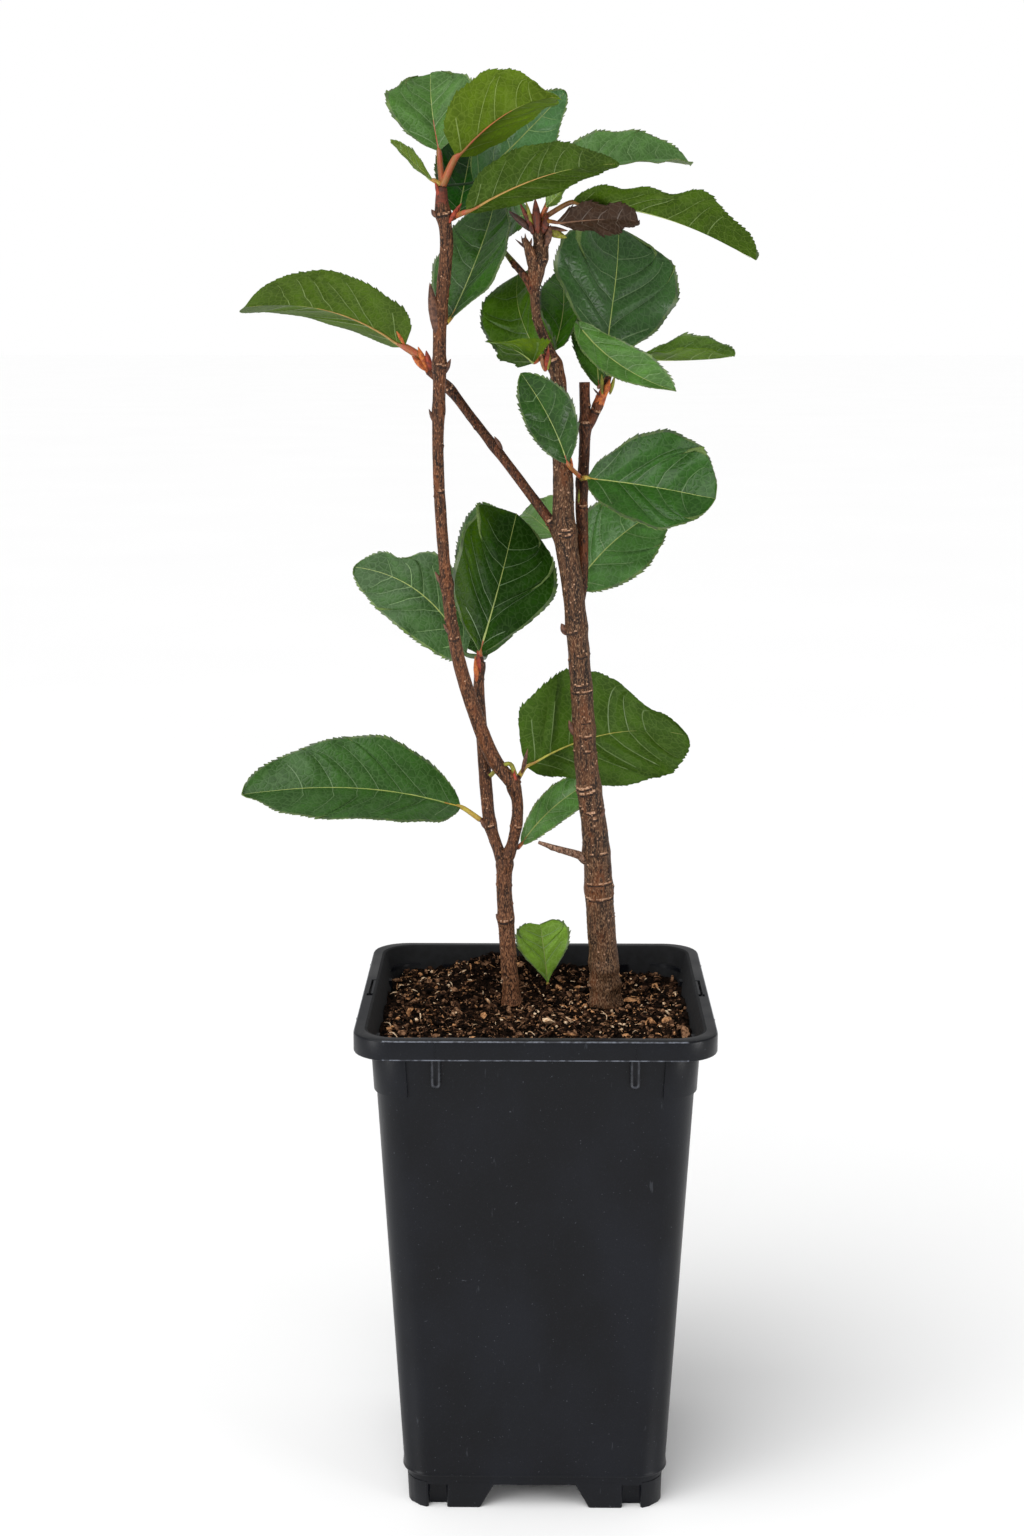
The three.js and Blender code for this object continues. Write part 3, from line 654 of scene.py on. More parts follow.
def build_pot():
    skin = pot_skin()
    # Painted highlights: a lighter skin for the lip and skirt edges, and another for the rib edges
    lit_edge = plain_skin("pot_edge_painted_highlight", (92, 96, 105), (40, 42, 48), 0.4, 0.5)
    # Painted highlight for the sloping edges of the ribs
    rib_highlight = plain_skin("pot_rib_painted_highlight", (50, 52, 58), (28, 30, 35), 0.4, 0.5)
    inside = plain_skin("pot_inside", (17, 18, 21), (10, 11, 13), 0.75, 0.3)
    shell = pot_shell()
    share_pot_skins(shell)
    add_piece("pot_shell", shell, [skin, lit_edge, inside], ["pot"], 30)
    feet = bmesh.new()
    on_four_sides(feet, pot_foot)
    add_piece("pot_feet", feet, [skin], (), 40)
    trims = bmesh.new()
    on_four_sides(trims, corner_panel)
    for x in (-RIB_SPREAD, RIB_SPREAD):
        on_four_sides(trims, pot_rib, x)
        on_four_sides(trims, witness_line, x)
    add_piece("pot_ribs", trims, [skin, rib_highlight], (), 40)


# Compost

SOIL_LEVEL, SOIL_PAD, SOIL_PAD_EDGE = 187, 15, 30
STEM_FEET = ((28.9, 18), (-9.7, 18), (5.2, 38))
MOUND_AT, MOUND_HEIGHT, MOUND_SPREAD = (-7, 62), 10.5, 31
WAVE_HEIGHT, WAVE_PITCH, BANK_HEIGHT = 0.8, 22, 3
# Lumps of the crumbled surface: how many to a millimetre, where in the noise, and height
CLODS = ((0.13, 3, 1.6), (0.3, 8, 2.1), (0.8, 5, 0.9))


def soil_height(x, y):
    """Height of the bed, with a mound at the back wall and a low bank at the other walls."""
    nearest = np.min([np.hypot(x - fx, y - fy) for fx, fy in STEM_FEET], axis=0)
    away = ease(nearest, SOIL_PAD, SOIL_PAD_EDGE)
    mound = MOUND_HEIGHT * np.exp(-(np.hypot(x - MOUND_AT[0], y - MOUND_AT[1]) / MOUND_SPREAD) ** 2)
    wall = np.maximum(np.abs(x), np.abs(y)) / BODY_TOP
    front = 1 - ease(y, 0, BODY_TOP)
    waves = WAVE_HEIGHT * np.sin(2 * math.pi * x / WAVE_PITCH) * np.cos(2 * math.pi * y / WAVE_PITCH)
    return SOIL_LEVEL + away * (mound + waves + BANK_HEIGHT * front * wall ** 3)


def lump_at(x, y, scale, layer):
    """Noise from -1 to 1 at a spot of the bed."""
    return noise.noise(Vector((x * scale, y * scale, layer)))


def bed_height(x, y):
    """Height of the crumbled surface."""
    lumps = sum(height * lump_at(x, y, scale, layer) for scale, layer, height in CLODS)
    return float(soil_height(x, y)) + lumps


BED_HALF, BED_RADIUS, BED_CELLS = 60.8, 10.9, 150
BED_FLOOR, BED_TAPER = 176, 0.98


def build_bed(skin):
    work = bmesh.new()
    bmesh.ops.create_grid(work, x_segments=BED_CELLS, y_segments=BED_CELLS, size=BED_HALF)
    flat = BED_HALF - BED_RADIUS
    for vert in work.verts:
        x, y = vert.co.x, vert.co.y
        corner = Vector((max(abs(x) - flat, 0), max(abs(y) - flat, 0)))
        if corner.length > BED_RADIUS:
            corner = corner.normalized() * BED_RADIUS
            x = math.copysign(flat + corner.x, x)
            y = math.copysign(flat + corner.y, y)
        vert.co = (x, y, bed_height(x, y))
    rim = [e for e in work.edges if e.is_boundary]
    grown = bmesh.ops.extrude_edge_only(work, edges=rim)
    for vert in verts_of(grown):
        vert.co = (vert.co.x * BED_TAPER, vert.co.y * BED_TAPER, BED_FLOOR)
    bmesh.ops.edgeloop_fill(work, edges=rim_of(grown))
    bmesh.ops.remove_doubles(work, verts=work.verts, dist=1e-3)
    bmesh.ops.recalc_face_normals(work, faces=work.faces)
    add_piece("compost_bed", work, [skin], ["soil"], 70)


# Kinds of crumb: name, colour, dark tone and share of them all
CRUMB_KINDS = (
    ("crumb_black", (26, 17, 12), (8, 5, 3), 0.27),
    ("crumb_brown", (80, 55, 39), (30, 19, 13), 0.37),
    ("crumb_tan", (150, 112, 84), (76, 52, 36), 0.21),
    ("crumb_orange", (204, 152, 106), (128, 86, 56), 0.09),
    ("crumb_pale", (244, 216, 180), (184, 144, 108), 0.06),
)
# Sizes of crumb: how many, longest half length and thickness as a share of it
CRUMB_SIZES = ((5200, 1.0, 0.5), (1300, 2.1, 0.42), (170, 3.6, 0.3))
CRUMB_SHAPES = 3
PALE_KIND, PALE_SHARE = 3, 0.4
SHREDS, SHRED_LENGTH = 1000, 2.6
# Large bark chips: place, half length and turn
CHIPS = (((39.2, 20), 4.4, 35), ((14, -30), 3.6, 160), ((52, -12), 4.2, 60), ((-8, -47), 3.0, 10))
# Where crumbs lie: half the bed, where its round corners begin, their radius, and the room round a stem
CRUMB_REACH, CRUMB_FLAT, CRUMB_ROUND, STEM_ROOM = 59.5, 49, 10, 2.5


def on_bed():
    """A random spot on the bed, away from the stems and more often on the lumps than in the hollows."""
    while True:
        x, y = dice.uniform(-CRUMB_REACH, CRUMB_REACH, 2)
        corner = math.hypot(max(abs(x) - CRUMB_FLAT, 0), max(abs(y) - CRUMB_FLAT, 0))
        near = min(math.hypot(x - fx, y - fy) for fx, fy in STEM_FEET)
        lump = lump_at(x, y, *CLODS[1][:2])
        if corner < CRUMB_ROUND and near > STEM_ROOM and dice.uniform(-0.75, 0.35) < lump:
            return x, y


def crumb_places(count, longest, thin):
    """Turn, stretch and place of so many crumbs."""
    places = []
    for _ in range(count):
        x, y = on_bed()
        length = min(longest * 0.6 * math.exp(dice.normal(0, 0.35)), longest)
        wide = length * dice.uniform(thin, thin * 1.8)
        high = length * dice.uniform(thin * 0.7, thin * 1.4)
        z = bed_height(x, y) + length * dice.uniform(-0.05, 0.3)
        places.append((random_turn() @ np.diag([length, wide, high]), np.array((x, y, z))))
    return places


def shred(seed):
    """Points and faces of a thin curled fibre of about unit half length."""
    own = np.random.default_rng(seed)
    along = np.linspace(-1, 1, 6)
    curl = own.uniform(0.15, 0.6)
    aside = own.uniform(-0.3, 0.3) * along ** 3
    thick = 0.09 * (1.1 - 0.6 * np.abs(along))
    work = close_tube(round_tube(np.stack([along, aside, curl * (1 - along ** 2), thick], axis=1), 4))
    bmesh.ops.triangulate(work, faces=work.faces)
    return points_and_faces(work)


def chip_places():
    """Turn, stretch and place of the few large bark chips that lie on the bed."""
    places = []
    for (x, y), length, turn in CHIPS:
        flat = np.array(Matrix.Rotation(math.radians(turn), 3, "Z") @ Matrix.Rotation(0.35, 3, "X"))
        at = np.array((x, y, float(soil_height(x, y)) + 1.4))
        places.append((flat @ np.diag([length, length * 0.42, length * 0.16]), at))
    return places


def build_crumbs():
    skins = [plain_skin(name, colour, dark, 0.9, 0.8, 0.05) for name, colour, dark, _ in CRUMB_KINDS]
    shapes = []
    for kind, (_, _, _, share) in enumerate(CRUMB_KINDS):
        for number, (count, longest, thin) in enumerate(CRUMB_SIZES):
            kept = PALE_SHARE if number > 0 and kind >= PALE_KIND else 1
            each = int(count * share * kept / CRUMB_SHAPES)
            for variant in range(CRUMB_SHAPES):
                grain = pebble(kind * 10 + number * 3 + variant, 0.42)
                shapes.append((*grain, kind, crumb_places(each, longest, thin)))
        places = crumb_places(int(SHREDS * share), SHRED_LENGTH, 1)
        shapes.append((*shred(kind), kind, places))
    shapes.append((*pebble(77, 0.22), PALE_KIND, chip_places()))
    scatter("compost_crumbs", shapes, skins)


def build_soil():
    bed = plain_skin("compost_dark", (30, 20, 14), (6, 4, 3), 0.95, 0.7, 0.03)
    build_bed(bed)
    build_crumbs()


# Canes and branches: each route is (x, y, z, radius) from the foot to the tip

LIMBS = {
    "main_cane": [
        (28.9, 18, 187.3, 6.8), (28.3, 17.6, 197, 5.8), (25.6, 16, 236, 5.8), (23.8, 15, 259, 5.3),
        (20, 13, 290, 4.6), (18, 12, 319, 4.3), (14.4, 11, 358.5, 4.2), (10.7, 11, 383.5, 4.5),
        (10.3, 11, 401.5, 3.9), (8.6, 10.5, 424.5, 3.3), (8.2, 10, 440.6, 2.9), (3.9, 10, 453.1, 1.9),
        (0, 10, 463.3, 1.7), (-0.8, 10, 473.8, 1.9), (-0.4, 10, 480.6, 3.3), (1.5, 10, 491, 2.9),
        (0.8, 10, 496.5, 2.9), (0.6, 10, 501, 2.4),
    ],
    "broken_stub": [(0, 9, 482, 2.5), (-2.7, 7, 488, 2.1), (-5, 6, 493.1, 0.9)],
    "dead_spur": [
        (22.7, 15, 247.7, 2.6), (19.6, 14.4, 249.4, 2.4), (17.6, 14, 250.6, 1.7), (8.9, 11, 253.9, 1.3),
        (1.2, 8, 257.3, 0.7),
    ],
    "short_shoot": [
        (-0.8, 10, 473.1, 1.6), (-4.2, 10, 478.3, 1.5), (-9.2, 13, 484.3, 1.2), (-13.9, 27, 490.2, 0.7),
    ],
    "crossing_branch": [
        (10.7, 11.5, 378.5, 2.4), (4.5, 12.9, 386.5, 2), (-12, 17.9, 407.9, 1.9),
        (-25.4, 21.9, 424.8, 1.9), (-34.9, 24.8, 436.7, 1.9), (-42.4, 27, 442.9, 1.7),
    ],
    "side_shoot": [
        (14.9, 12, 345.6, 2), (18, 15, 357.9, 1.9), (18.3, 18, 375.8, 2.2), (17.7, 19, 391.1, 2.5),
        (18.4, 19, 405.9, 2.2), (18.9, 19, 420.3, 2.2), (18.6, 19, 438.8, 2.1),
    ],
    "side_spur": [
        (18.9, 19, 419.5, 1.8), (22.4, 19, 426.5, 1.8), (25, 19, 432.7, 1.9), (27, 19, 437.3, 1.7),
    ],
    "left_cane": [
        (-9.7, 18, 187.3, 3.9), (-10.2, 18, 194, 3.5), (-12.1, 18, 222.6, 3.2), (-12.9, 18, 239.3, 3.2),
        (-12.5, 18, 248.5, 3.1),
    ],
    "outer_arm": [
        (-12.5, 18, 246.8, 2.4), (-9.7, 17.5, 254, 2.3), (-7.6, 17, 264.5, 2.3), (-7.6, 16, 273, 2.3),
        (-9.2, 15, 279.3, 2.6),
    ],
    "left_leader": [
        (-8, 15, 278.9, 2.4), (-16.4, 14, 289.3, 3), (-24.7, 12, 310.3, 2.9), (-30.7, 10.5, 331, 2.6),
        (-35.3, 9, 361.7, 2.3), (-38.2, 7, 412.4, 2.2), (-37.4, 6.5, 439.2, 2.5), (-37.1, 6, 461.4, 2.6),
        (-34.4, 5.5, 492.4, 2.5), (-36, 5, 505.3, 2.6), (-36, 5, 511.6, 2),
    ],
    "middle_shoot": [
        (-12.9, 18, 246, 2.4), (-15.4, 19, 252.4, 2.3), (-18.6, 20, 262.2, 2.5), (-20.2, 21, 277.7, 2.6),
        (-21.8, 22, 298.4, 2.4), (-23, 22.5, 316.7, 2.2), (-22.6, 23, 328, 2),
    ],
}
# Limbs by the slot of their bark
BARK_OF = {
    "bark_main": ("main_cane", "broken_stub", "dead_spur"),
    "bark_young": ("short_shoot", "crossing_branch", "side_shoot", "side_spur"),
    "bark_left": ("left_cane", "outer_arm", "left_leader", "middle_shoot"),
}

# Leaf and bud scars on each limb: height, the way they face and half spread in degrees from +X, and sag
SCARS = {
    "main_cane": (
        (234.3, -92, 85, 1.3), (239.8, -80, 70, 0.2), (252.2, -80, 38, 0.2), (267.1, -84, 16, 0.3),
        (272.2, -98, 58, 3), (278.4, -130, 60, 1.2), (280.2, -135, 50, 1), (294.9, -88, 26, 0.6),
        (301, -86, 34, 0.9), (306.6, -84, 26, 0.5), (318.9, -92, 75, 0.7), (321.4, -100, 40, 0.5),
        (333, -80, 30, 0.6), (343, -140, 50, 0.8), (381.3, -84, 34, 1.2), (382.6, -80, 26, 0.6),
        (448, -90, 60, 0.8), (486, -100, 55, 1),
    ),
    "left_cane": ((223.4, -120, 70, 0.8),),
    "left_leader": (
        (340, -100, 50, 0.6), (398, -70, 40, 0.5), (446, -60, 50, 0.7), (502.3, -100, 90, 0.4),
    ),
    "crossing_branch": ((386, -90, 60, 0.8), (436, -90, 40, 0.5)),
    "side_shoot": ((392, -80, 60, 1.5), (423.8, -90, 80, 0.8)),
    "side_spur": ((428, -90, 60, 0.4),),
    "outer_arm": ((262.6, -70, 40, 0.5),),
    "middle_shoot": ((262, -110, 50, 0.5), (300, -90, 30, 0.4)),
}
# Young ends of a coloured bark, from a height up
YOUNG_ENDS = {
    "left_leader": (505.5, "ruddy"), "short_shoot": (484.5, "olive"), "side_spur": (430.5, "orange"),
}
# Swollen nodes: height and how far they stand out
NODES = {
    "main_cane": (
        (187.3, 0.5), (196, 0.5), (203, 0.7), (237, 0.35), (252, 0.4), (278, 0.3), (303, 0.35),
        (319, 0.3), (343, 0.4), (381, 0.9), (401, 0.2), (446, 0.8), (486, 0.7),
    ),
    "left_cane": ((187.3, 0.6), (223.4, 0.5), (246, 0.6)),
    "left_leader": ((281, 0.5), (361, 0.6), (428, 0.35), (446, 0.5), (464, 0.4), (502, 0.7)),
    "crossing_branch": ((381, 0.8), (414, 0.3), (436, 0.4)),
    "side_shoot": ((347, 0.5), (400, 0.6), (422, 0.7)),
    "side_spur": ((424, 0.3), (430, 0.4)),
    "outer_arm": ((250, 0.5), (263, 0.25), (278, 0.5)),
    "middle_shoot": ((248, 0.4), (262, 0.4), (326, 0.4)),
    "short_shoot": ((474, 0.5),),
    "broken_stub": ((484, 0.5),),
}


def route_points(route, shares):
    """Points of the smooth curve through a route, with its radius, at shares of its spans."""
    knots = np.array(route, float)
    ends = np.vstack([2 * knots[0] - knots[1], knots, 2 * knots[-1] - knots[-2]])
    spans = len(knots) - 1
    found = []
    for share in shares:
        at = min(int(share * spans), spans - 1)
        w = share * spans - at
        p0, p1, p2, p3 = ends[at:at + 4, :3]
        steps = (p1 - p0, p2 - p1, p3 - p2)
        d0, d1, d2 = (max(np.linalg.norm(step), 1e-4) ** 0.5 for step in steps)
        t1 = ((p1 - p0) / d0 - (p2 - p0) / (d0 + d1) + (p2 - p1) / d1) * d1
        t2 = ((p2 - p1) / d1 - (p3 - p1) / (d1 + d2) + (p3 - p2) / d2) * d1
        bend = 2 * p1 - 2 * p2 + t1 + t2
        swing = -3 * p1 + 3 * p2 - 2 * t1 - t2
        point = p1 + t1 * w + swing * w ** 2 + bend * w ** 3
        radius = knots[at][3] * (1 - w) + knots[at + 1][3] * w
        found.append((*point, radius))
    return np.array(found)


def run_along(points):
    """Distance along a line of points from its first point."""
    return np.concatenate([[0], np.cumsum(np.linalg.norm(np.diff(points, axis=0), axis=1))])


def smooth_route(route):
    """Many points of a route's curve, with the distance along it."""
    points = route_points(route, np.linspace(0, 1, 40 * len(route)))
    return points, run_along(points[:, :3])


def even_points(route, pitch):
    """Points along a route about one pitch apart, with the radius at each."""
    rough, run = smooth_route(route)
    wanted = np.linspace(0, run[-1], max(int(run[-1] / pitch), 3) + 1)
    return np.stack([np.interp(wanted, run, rough[:, k]) for k in range(4)], axis=1)


def carried_frames(centres):
    """Tangent and two side directions at each point, carried along without twist."""
    tangents = np.gradient(centres, axis=0)
    tangents /= np.linalg.norm(tangents, axis=1)[:, None]
    side = np.array((1.0, 0.0, 0.0))
    sides = []
    for tangent in tangents:
        side = side - tangent * (side @ tangent)
        side /= np.linalg.norm(side)
        sides.append(side)
    sides = np.array(sides)
    return tangents, sides, np.cross(tangents, sides)


def tube(centres, radii):
    """Tube as a work mesh with both ends drawn in; radii has a value for each point of each ring."""
    _, across, over = carried_frames(centres)
    sides = radii.shape[1]
    angles = np.linspace(0, 2 * math.pi, sides + 1)[None, :, None]
    radii = np.concatenate([radii, radii[:, :1]], axis=1)
    spoke = across[:, None] * np.cos(angles) + over[:, None] * np.sin(angles)
    rings = centres[:, None] + spoke * radii[:, :, None]
    first, last = (np.repeat(end[:, None], sides + 1, axis=1) for end in (centres[:1], centres[-1:]))
    return sheet_of(np.concatenate([first, rings, last]))


def round_tube(points, sides):
    """Tube as a work mesh from points with a radius each."""
    return tube(points[:, :3], np.repeat(points[:, 3:], sides, axis=1))


def close_tube(work):
    """Joins the seam and both ends of a tube."""
    bmesh.ops.remove_doubles(work, verts=work.verts, dist=1e-4)
    bmesh.ops.recalc_face_normals(work, faces=work.faces)
    return work


RING_PITCH = 0.5
SEED_STEP = 17
THICK_LIMB, THICK_SIDES, THIN_SIDES = 4, 28, 20
NODE_SPREAD = 2.6
SCAR_WIDTH, SCAR_PROUD = 0.42, 0.3
SCAR_EVERY = 28
# Gnarled foot of the main cane: how much rougher, and from which height it fades out
GNARL, GNARL_FROM, GNARL_TO = 2.6, 202, 218
# Skins of a limb by their place in its list
PALE_SCAR, YOUNG_BARK, SCAR_SHADOW = 1, 2, 3


def bark_relief(point, angle, seed, gnarl):
    """How far the bark stands out at a point, in millimetres."""
    x, y, z = math.cos(angle), math.sin(angle), point[2]
    ridges = noise.noise(Vector((x * 2.4 + seed, y * 2.4, z * 0.06)) * 1.4)
    lumps = noise.noise(Vector((x + seed, y, z * 0.16)))
    grain = noise.noise(Vector((x * 5, y * 5 + seed, z * 0.9)))
    return gnarl * (0.16 * ridges + 0.2 * lumps + 0.07 * grain)


def scar_marks(name, heights, angles):
    """Strength of the scars from 0 to 1 on each ring of a limb and each point round it."""
    marks = np.zeros((len(heights), len(angles)))
    own = np.random.default_rng(len(heights))
    lowest, highest = (heights[0], -20, 12, -1), (heights[-1], 200, 60, 2.2)
    wild = own.uniform(lowest, highest, (len(heights) // SCAR_EVERY, 4))
    for height, facing, spread, sag in (*SCARS.get(name, ()), *wild):
        aside = (np.degrees(angles) - facing + 180) % 360 - 180
        within = 1 - (aside / spread) ** 2
        line = height - sag * within
        near = np.exp(-((heights[:, None] - line) / SCAR_WIDTH) ** 2)
        marks = np.maximum(marks, near * (within > 0))
    return marks


def limb_mesh(name, seed):
    """Bark-covered limb with nodes, scars with painted shadow just under them, a young end and a gnarled
    foot.
    """
    points = even_points(LIMBS[name], RING_PITCH)
    centres, radii = points[:, :3], points[:, 3].copy()
    heights = centres[:, 2]
    for height, swell in NODES.get(name, ()):
        radii += swell * np.exp(-((heights - height) / NODE_SPREAD) ** 2)
    sides = THICK_SIDES if radii.max() > THICK_LIMB else THIN_SIDES
    angles = np.linspace(0, 2 * math.pi, sides, endpoint=False)
    marks = scar_marks(name, heights, angles)
    thick = np.clip(radii / THICK_LIMB, 0.45, 1.5)
    full = np.empty((len(radii), sides))
    for i, point in enumerate(centres):
        low = float(1 - ease(point[2], GNARL_FROM, GNARL_TO)) * (name == "main_cane")
        full[i] = [radii[i] + bark_relief(point, a, seed, thick[i] * (1 + GNARL * low)) for a in angles]
    work = tube(centres, full + SCAR_PROUD * marks)
    work.faces.ensure_lookup_table()
    young = YOUNG_ENDS.get(name, (math.inf, ""))[0]
    for i, height in enumerate(heights):
        for j, angle in enumerate(angles):
            face = work.faces[(i + 1) * sides + j]
            around = Vector((math.cos(angle) * 3, math.sin(angle) * 3, height * 0.7 + seed))
            broken = noise.noise(around)
            if marks[i, j] > 0.55 and broken > -0.12:
                face.material_index = PALE_SCAR
            # Painted shadow: a dark ring just under each scar, where its raised edge would shade the bark
            elif marks[min(i + 2, len(marks) - 1), j] > 0.5:
                face.material_index = SCAR_SHADOW
            elif height > young + 2 * broken:
                face.material_index = YOUNG_BARK
    if name == "side_shoot":
        for face in work.faces[-sides:]:
            face.material_index = PALE_SCAR
    return close_tube(work)


# Lenticels in two millimetres of a limb's length
LENTICEL_SHARE = {
    "main_cane": 1.5, "left_cane": 1.2, "left_leader": 0.8, "middle_shoot": 0.6, "crossing_branch": 0.5,
    "side_shoot": 0.6, "outer_arm": 0.7,
}


def lenticel_places(name):
    """Random spots on a limb's bark for its pale breathing pores."""
    points = even_points(LIMBS[name], RING_PITCH)
    length_of_limb = smooth_route(LIMBS[name])[1][-1]
    tangents, across, over = carried_frames(points[:, :3])
    places = []
    for _ in range(int(length_of_limb * LENTICEL_SHARE.get(name, 0) / 2)):
        i = dice.integers(4, len(points) - 3)
        angle = dice.uniform(0, 2 * math.pi)
        out = across[i] * math.cos(angle) + over[i] * math.sin(angle)
        round_it = np.cross(tangents[i], out)
        length = dice.uniform(0.22, 0.5) * min(points[i, 3] / 3.5, 1.2)
        wide = round_it * length * dice.uniform(0.7, 1.3)
        turn = np.stack([wide, tangents[i] * length, out * 0.16], axis=1)
        places.append((turn, points[i, :3] + out * (points[i, 3] + 0.04)))
    return places


def build_limbs():
    old = ((78, 51, 32), (33, 21, 13), (100, 57, 31), (146, 112, 84))
    red = ((72, 40, 22), (30, 17, 10), (98, 50, 25), (132, 88, 60))
    warm = ((82, 50, 31), (34, 20, 12), (106, 60, 32), (154, 106, 74))
    grey = ((134, 100, 80), (74, 50, 38), (148, 104, 76), (186, 158, 136))
    # The last number given to bark_old and bark_warm is how strongly painted light lifts the foot of the
    # bark
    skins = {
        "bark_main": bark_skin("bark_old", *old, 0.6, 0.56, 0.6),
        "bark_young": bark_skin("bark_red", *red, 0.5, 0.52),
        "bark_left": bark_skin("bark_warm", *warm, 0.55, 0.52, 0.9),
    }
    dry = bark_skin("bark_dry", *grey, 0.5)
    scar = plain_skin("scar_pale", (176, 140, 112), (122, 84, 60), 0.8, 1.2)
    # Dark skin for the painted shadow under each scar
    scar_shadow = plain_skin("bark_scar_shadow", (52, 36, 28), (26, 18, 14), 0.9, 1.2)
    lenticel = plain_skin("lenticel", (178, 142, 114), (140, 104, 80), 0.8, 2)
    shapes = []
    seed = 0
    for slot, names in BARK_OF.items():
        for name in names:
            seed += SEED_STEP
            young = bud_skin(YOUNG_ENDS.get(name, (0, "red"))[1])
            cover = dry if name == "dead_spur" else skins[slot]
            add_piece(f"{name}_bark", limb_mesh(name, seed), [cover, scar, young, scar_shadow], [name], 50)
            shapes.append((*pebble(seed, 0.1), 0, lenticel_places(name)))
    scatter("lenticels", [s for s in shapes if s[3]], [lenticel])
    return skins


# Buds, bud scales, stipules and splinters

# Colour and dark tone
BUD_COLOURS = {
    "red": ((150, 58, 36), (104, 44, 30)), "brown": ((104, 70, 52), (66, 42, 32)),
    "orange": ((190, 106, 48), (140, 66, 34)), "olive": ((132, 134, 44), (104, 96, 36)),
    "dark": ((74, 48, 38), (46, 30, 25)), "wood": ((164, 118, 84), (104, 68, 46)),
    "ruddy": ((104, 48, 30), (66, 34, 24)),
}
# Foot, tip and half width, by colour
BUDS = {
    "brown": (
        ((12.2, 11.5, 340.5), (9.8, 11, 345.2), 1.6), ((15.4, 11.5, 300), (13, 10.5, 306.6), 1.4),
        ((26, 11.5, 266.6), (27.6, 10.4, 270.8), 0.8), ((-36.6, 8.6, 360), (-39.8, 8.4, 366), 0.9),
        ((-39.2, 6.6, 423), (-41.6, 6.2, 429), 0.8), ((-35.6, 6, 442), (-33, 5.8, 448), 1),
        ((-38.2, 4.8, 456.5), (-40.8, 4.2, 476.6), 2), ((-33.6, 8.6, 340.6), (-36.6, 8.2, 345.4), 0.8),
        ((-38, 3.8, 500.6), (-40, 3.4, 503.6), 1), ((-14, 17, 221.6), (-16.2, 16.6, 225.6), 1),
        ((-19.6, 18.6, 260), (-22.6, 18, 264.6), 1), ((-13.4, 18, 412.6), (-16.6, 17.6, 418), 0.9),
        ((2, 8.6, 497.2), (11.8, 7, 495.8), 1), ((3.6, 6.8, 490), (5.2, 6.4, 498), 1.4),
        ((-5.8, 17.8, 283), (-3.3, 15.4, 294.2), 0.9), ((-4, 6.4, 488.6), (-4.6, 6.2, 495), 0.6),
        ((-3.2, 6.6, 488.6), (-2, 6.4, 493.2), 0.6),
    ),
    "dark": (
        ((29, 13, 243), (30.2, 12, 247), 0.7), ((-1, 9, 495.2), (-11, 8.4, 503.4), 1.4),
        ((24.6, 17.4, 433.6), (21.8, 16.6, 436.6), 0.4), ((-2.6, 6.8, 488), (-8.4, 6.6, 492.8), 0.5),
        ((-4.6, 6.2, 489), (-6, 6, 494), 0.5),
    ),
    "red": (
        ((-33.8, 4, 498.6), (-28.4, 3.2, 506), 1), ((-33.4, 3.6, 498.4), (-30.6, 2.6, 503.8), 0.8),
        ((-36.2, 4, 506), (-38.6, 3.6, 514), 0.9), ((-41.6, 25.6, 443), (-43.4, 24.6, 451), 1.3),
        ((3.4, 8, 443), (4.5, 6, 452.4), 1), ((-22.4, 20.8, 324), (-23.6, 20.2, 333.4), 0.9),
        ((-8.2, 13.4, 278.6), (-8.7, 13, 286), 0.9),
    ),
    "orange": (
        ((-42.6, 26, 442), (-46.6, 25.4, 452.4), 1.4), ((-43.4, 25.6, 443), (-49, 24.8, 448.8), 1.2),
        ((-51.6, 26.4, 452.9), (-55, 24.2, 458.7), 0.9), ((26.8, 16.8, 434), (28.3, 16.2, 440), 1.2),
        ((14, 10.4, 404), (13.2, 9, 411), 0.6), ((-23.7, 21.2, 319.6), (-24.4, 20.6, 331), 1.1),
    ),
    "wood": (
        ((3.1, 8.6, 443), (1.2, 6.8, 450.4), 0.9), ((-0.8, 5.9, 484), (-2.6, 5, 490), 0.4),
        ((1, 6.4, 480.6), (0, 6, 485.6), 0.4),
    ),
    "olive": (
        ((4.2, 7.4, 443.6), (5.1, 6.8, 449.6), 0.7), ((-1.4, 7.6, 496.5), (-4.5, 7, 507.3), 0.8),
        ((2.6, 8.8, 496.6), (11.4, 7.4, 493.2), 1.7), ((25.6, 17.4, 434), (25.2, 17, 442), 0.8),
        ((28.4, 17.4, 434), (30.4, 17, 441.6), 0.8), ((16.4, 17.2, 391.6), (16.6, 15.8, 397.6), 0.5),
    ),
    "ruddy": (
        ((-1.2, 8.2, 495.4), (-6.9, 7.6, 506.8), 1), ((0.3, 7.2, 494.7), (-0.8, 6.6, 507.8), 1.7),
        ((2.5, 7, 494.7), (3.9, 6.2, 502.3), 1.5), ((-1.7, 7.6, 494.3), (-2.6, 7, 499.7), 1),
    ),
}
# Petiole of a fallen leaf that arches from behind the leader to the bend
BARE_PETIOLE = (
    (-18.4, 14, 283.2, 0.9), (-14.4, 13.4, 287.2, 0.9), (-10.4, 13.6, 288.2, 0.9), (-8.3, 14, 283.6, 1),
)


def bud_skin(colour):
    return shared(plain_skin, f"bud_{colour}", *BUD_COLOURS[colour], 0.55, 0.7)


